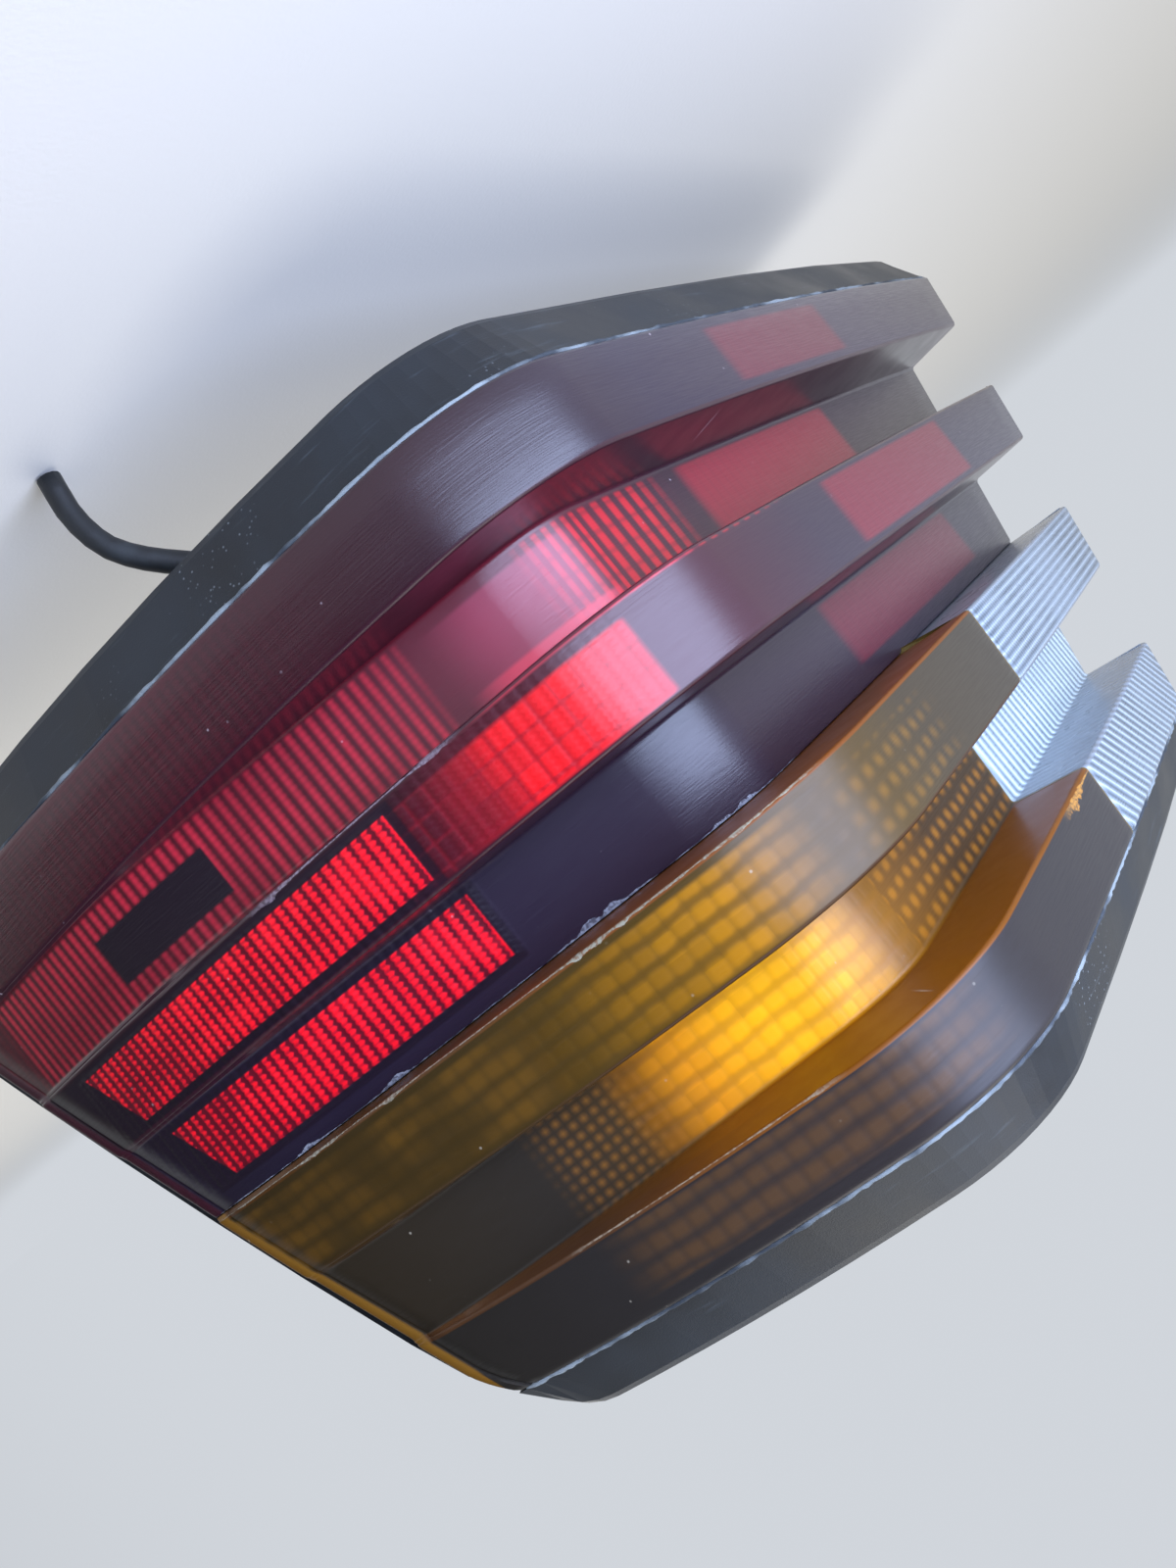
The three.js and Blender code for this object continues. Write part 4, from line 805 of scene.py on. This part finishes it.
tray = smooth_copy("tray", "housing", "lamp_housing", 9)
black_abs = new_material("black_abs_moulded")  # satin black plastic: blue-grey sheen, dust in the grain
colour, place, clouds = cloudy(black_abs, "#111214", "#1e2328", 28.0, 6.0, 0.3, 0.75)
grain = add(black_abs, "ShaderNodeTexNoise", {"Vector": place, "Scale": 2600.0, "Detail": 3.0})
level_place = add(black_abs, "ShaderNodeVectorMath", {0: place, 1: (1.0, 1.0, 14.0)}, operation="MULTIPLY")
scuffs = add(black_abs, "ShaderNodeTexNoise", {"Vector": level_place, "Scale": 60.0, "Detail": 5.0})
scuffed = add(black_abs, "ShaderNodeMapRange", {
    "Value": scuffs, "From Min": 0.6, "From Max": 0.8, "To Max": 0.35,
}, **SMOOTH)
colour = tinted(black_abs, colour, "#4d565c", scuffed)
specks = add(black_abs, "ShaderNodeTexVoronoi", {"Vector": place, "Scale": 620.0})
dots = add(black_abs, "ShaderNodeMapRange", {
    "Value": specks, "From Min": 0.05, "From Max": 0.22, "To Min": 0.4, "To Max": 0.0,
}, **SMOOTH)
patches = add(black_abs, "ShaderNodeTexNoise", {"Vector": place, "Scale": 34.0, "Detail": 3.0})
dusty = add(black_abs, "ShaderNodeMapRange", {
    "Value": patches, "From Min": 0.54, "From Max": 0.7,
}, **SMOOTH)
colour = tinted(black_abs, colour, "#9aa1a4", dots, dusty)
rough = add(black_abs, "ShaderNodeMapRange", {
    "Value": clouds, "From Min": 0.3, "From Max": 0.7, "To Min": 0.34, "To Max": 0.5,
}, **SMOOTH)
surface(black_abs, {"Base Color": colour, "Roughness": rough, "Specular IOR Level": 0.42},
        grain, 0.16, 0.0002)
tray.data.materials.append(black_abs)


# ---------------------------------------------------------------- sealant beads
# A grey bead of lens sealant, squeezed out unevenly where the lens edge meets each rim, gone
# light and ragged with age.
random.seed(7)
BEAD_COLUMNS = 230


def bead_of_sealant(name, edge, outward):
    bpy.ops.object.select_all(action="DESELECT")
    bpy.ops.mesh.primitive_grid_add(x_subdivisions=BEAD_COLUMNS, y_subdivisions=8, size=2)
    piece = bpy.context.object
    piece.name = name
    start, finish = inner_end(edge) + 1, side_end(edge) - 1
    sizes = [0.5 + 0.28 * random.random() for _ in range(BEAD_COLUMNS + 1)]
    lean = [0.3 * random.uniform(-1, 1) for _ in range(BEAD_COLUMNS + 1)]
    for vertex in piece.data.vertices:
        i = round((vertex.co.x + 1) / 2 * BEAD_COLUMNS)
        around = math.pi * (vertex.co.y + 1)
        tip = 0.15 if i in (0, BEAD_COLUMNS) else 1.0
        s = start + (finish - start) * i / BEAD_COLUMNS
        radius = sizes[i] * tip
        z = edge + outward * (0.15 + lean[i] * 0.4) + radius * math.sin(around)
        vertex.co = at_depth(s, 1.1 + radius * math.cos(around), z)
    bpy.ops.object.mode_set(mode="EDIT")
    bpy.ops.mesh.select_all(action="SELECT")
    bpy.ops.mesh.remove_doubles(threshold=0.000005)
    bpy.ops.mesh.edge_face_add()
    bpy.ops.mesh.select_all(action="SELECT")
    bpy.ops.mesh.normals_make_consistent(inside=False)
    bpy.ops.object.mode_set(mode="OBJECT")
    bpy.ops.object.shade_smooth_by_angle(angle=math.radians(60))
    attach(piece, "lamp_housing")
    return piece


sealant = new_material("aged_lens_sealant")
colour, place, _ = cloudy(sealant, "#2c3238", "#7d8588", 55.0, 5.0, 0.42, 0.62)
crumbs = add(sealant, "ShaderNodeTexNoise", {"Vector": place, "Scale": 420.0, "Detail": 4.0})
surface(sealant, {"Base Color": colour, "Roughness": 0.75}, crumbs, 0.5, 0.0004)
for name, edge, outward in (("sealant_bead_lower", 0.0, -1), ("sealant_bead_upper", TOP, 1)):
    bead_of_sealant(name, edge, outward).data.materials.append(sealant)


# ---------------------------------------------------------------- rubber pieces
# The drain spout, the vent cap and the lens seal are moulded EPDM rubber, pushed on, matt with a
# faint bloom.
def finish_nodes(material, *nodes):
    """Puts a material on CAD pieces that keep their own mesh."""
    for node in nodes:
        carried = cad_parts[node]
        carried.data.materials.clear()
        carried.data.materials.append(material)


rubber = new_material("moulded_epdm_rubber")
colour, place, bloom = cloudy(rubber, "#131517", "#2e3336", 90.0, 5.0, 0.4, 0.75)
skin = add(rubber, "ShaderNodeTexNoise", {"Vector": place, "Scale": 1800.0})
rough = add(rubber, "ShaderNodeMapRange", {
    "Value": bloom, "From Min": 0.3, "From Max": 0.7, "To Min": 0.45, "To Max": 0.62,
}, **SMOOTH)
surface(rubber, {"Base Color": colour, "Roughness": rough}, skin, 0.25, 0.0002)
for name, node in (("rubber_spout", "drain_spout"), ("rubber_vent_cap", "vent_cap")):
    piece = smooth_copy(name, node, "lamp_housing", 50)
    piece.data.materials.append(rubber)
finish_nodes(rubber, "lens_seal")


# ---------------------------------------------------------------- foam seals
# The body seal and the plate seal are die-cut closed-cell foam, pressed on, with fine open cells
# along the cut.
foam = new_material("closed_cell_foam")
colour, place, _ = cloudy(foam, "#1b1c1e", "#303335", 45.0, 4.0)
cells = add(foam, "ShaderNodeTexVoronoi", {"Vector": place, "Scale": 1100.0})
surface(foam, {"Base Color": colour, "Roughness": 0.93}, cells, 0.7, 0.0005)
finish_nodes(foam, "body_seal", "plate_seal")


# ---------------------------------------------------------------- fasteners
# Turned and pressed steel, zinc plated: dull silver with a faint yellow-blue passivation. The thread
# of the studs is a look, 1 mm from turn to turn.
zinc = new_material("zinc_plated_steel")
colour, place, tarnish = cloudy(zinc, "#a9adad", "#8d8b80", 160.0, 5.0)
crystals = add(zinc, "ShaderNodeTexNoise", {"Vector": place, "Scale": 1500.0})
rough = add(zinc, "ShaderNodeMapRange", {
    "Value": tarnish, "From Min": 0.3, "From Max": 0.7, "To Min": 0.3, "To Max": 0.48,
}, **SMOOTH)
surface(zinc, {"Base Color": colour, "Metallic": 1.0, "Roughness": rough}, crystals, 0.15, 0.0002)
finish_nodes(zinc, "latch_pin_lower", "latch_pin_upper")

TURNS_PER_METRE = 1000
thread = new_material("zinc_plated_thread")
place = add(thread, "ShaderNodeTexCoord", output="Object")
turns = add(thread, "ShaderNodeTexWave", {
    "Vector": place, "Scale": TURNS_PER_METRE / (2 * math.pi), "Distortion": 0.0,
}, bands_direction="Y")
colour = tinted(thread, linear("#6b6c68"), "#b3b5b3", turns)
surface(thread, {"Base Color": colour, "Metallic": 1.0, "Roughness": 0.36}, turns, 0.9, 0.0006)
for i in range(1, 5):
    finish_nodes(zinc, f"washer_{i}", f"nut_{i}")
    stud = smooth_copy(f"threaded_stud_{i}", f"stud_{i}", "lamp_housing", 40)
    stud.data.materials.append(thread)


# ---------------------------------------------------------------- bulb plate, latches and plug socket
# The plate is grey ABS, injection moulded, with faint flow marks. The latches and the plug socket
# are black nylon. The contact track and the blades in the socket are stamped brass.
grey_abs = new_material("grey_abs_moulded")
colour, place, flow = cloudy(grey_abs, "#7b7f83", "#8d9093", 20.0, 4.0, stretch=(1.0, 1.0, 3.0))
grain = add(grey_abs, "ShaderNodeTexNoise", {"Vector": place, "Scale": 2200.0})
rough = add(grey_abs, "ShaderNodeMapRange", {
    "Value": flow, "From Min": 0.3, "From Max": 0.7, "To Min": 0.4, "To Max": 0.52,
}, **SMOOTH)
surface(grey_abs, {"Base Color": colour, "Roughness": rough}, grain, 0.15, 0.0002)
finish_nodes(grey_abs, "bulb_plate")

nylon = new_material("black_nylon")
colour, place, _ = cloudy(nylon, "#17181a", "#25272a", 70.0, 4.0)
grain = add(nylon, "ShaderNodeTexNoise", {"Vector": place, "Scale": 1900.0})
surface(nylon, {"Base Color": colour, "Roughness": 0.42}, grain, 0.2, 0.0002)
finish_nodes(nylon, "latch_lower", "latch_upper", "connector_socket")

brass = new_material("stamped_brass")
colour, place, tarnish = cloudy(brass, "#b7984f", "#8b7338", 130.0, 5.0)
rolled = add(brass, "ShaderNodeVectorMath", {0: place, 1: (1.0, 12.0, 1.0)}, operation="MULTIPLY")
draw_lines = add(brass, "ShaderNodeTexNoise", {"Vector": rolled, "Scale": 300.0})
rough = add(brass, "ShaderNodeMapRange", {
    "Value": tarnish, "From Min": 0.3, "From Max": 0.7, "To Min": 0.26, "To Max": 0.42,
}, **SMOOTH)
surface(brass, {"Base Color": colour, "Metallic": 1.0, "Roughness": rough}, draw_lines, 0.15, 0.0002)
finish_nodes(brass, "contact_track", *[f"contact_blade_{i}" for i in range(1, 7)])


# ---------------------------------------------------------------- reflectors and reflex plates
# The reflector bowls are glossy white ABS that has yellowed a little. The reflex plates are red
# acrylic, cut with tiny cube corners.
white_abs = new_material("white_abs_reflector")
colour, place, _ = cloudy(white_abs, "#eeeeea", "#e2dfd2", 24.0, 4.0)
grain = add(white_abs, "ShaderNodeTexNoise", {"Vector": place, "Scale": 2000.0})
surface(white_abs, {"Base Color": colour, "Roughness": 0.3}, grain, 0.1, 0.0002)
finish_nodes(white_abs, "reflector_side")

reflex = new_material("red_acrylic_reflex")
place = add(reflex, "ShaderNodeTexCoord", output="Object")
cubes = add(reflex, "ShaderNodeTexVoronoi", {"Vector": place, "Scale": 420.0}, distance="CHEBYCHEV")
colour = tinted(reflex, linear("#c00d1a"), "#5c0512", cubes)
surface(reflex, {"Base Color": colour, "Roughness": 0.25, "Coat Weight": 0.6}, cubes, 0.5, 0.0005)
finish_nodes(reflex, "reflex_plate_upper", "reflex_plate_lower")


# ---------------------------------------------------------------- bulbs and their holders
# Each bulb has a blown glass and a brass cap, and turns in a pressed steel holder, zinc plated like
# the fasteners. The turn signal's glass is amber.
def glass_finish(name, tint, deep):
    glass = new_material(name)
    colour, _, ripple = cloudy(glass, tint, deep, 140.0, 1.0, 0.3, 0.7)
    surface(glass, {"Base Color": colour, "Roughness": 0.03, "IOR": 1.5, "Transmission Weight": 0.9},
            ripple, 0.05, 0.0004)
    return glass


clear_glass = glass_finish("blown_clear_glass", "#f4f8f8", "#e6eeee")
amber_glass = glass_finish("blown_amber_glass", "#f0a436", "#e08a1c")
for lamp in ("turn", "reverse", "tail", "stop", "fog"):
    for name, node, body, angle, material, slot in (
        ("reflector_bowl", "reflector", "lamp_housing", 40, white_abs, "white_abs"),
        ("bulb_holder", "holder", "bulb_carrier", 25, zinc, "zinc_steel"),
        ("bulb_cap", "cap", f"bulb_{lamp}", 30, brass, "brass"),
    ):
        piece = smooth_copy(f"{name}_{lamp}", f"{node}_{lamp}", body, angle)
        piece.data.materials.append(material)
    envelope = smooth_copy(f"bulb_glass_{lamp}", f"glass_{lamp}", f"bulb_{lamp}", 60)
    envelope.data.materials.append(amber_glass if lamp == "turn" else clear_glass)

bpy.ops.object.select_all(action="DESELECT")
bpy.context.view_layer.update()
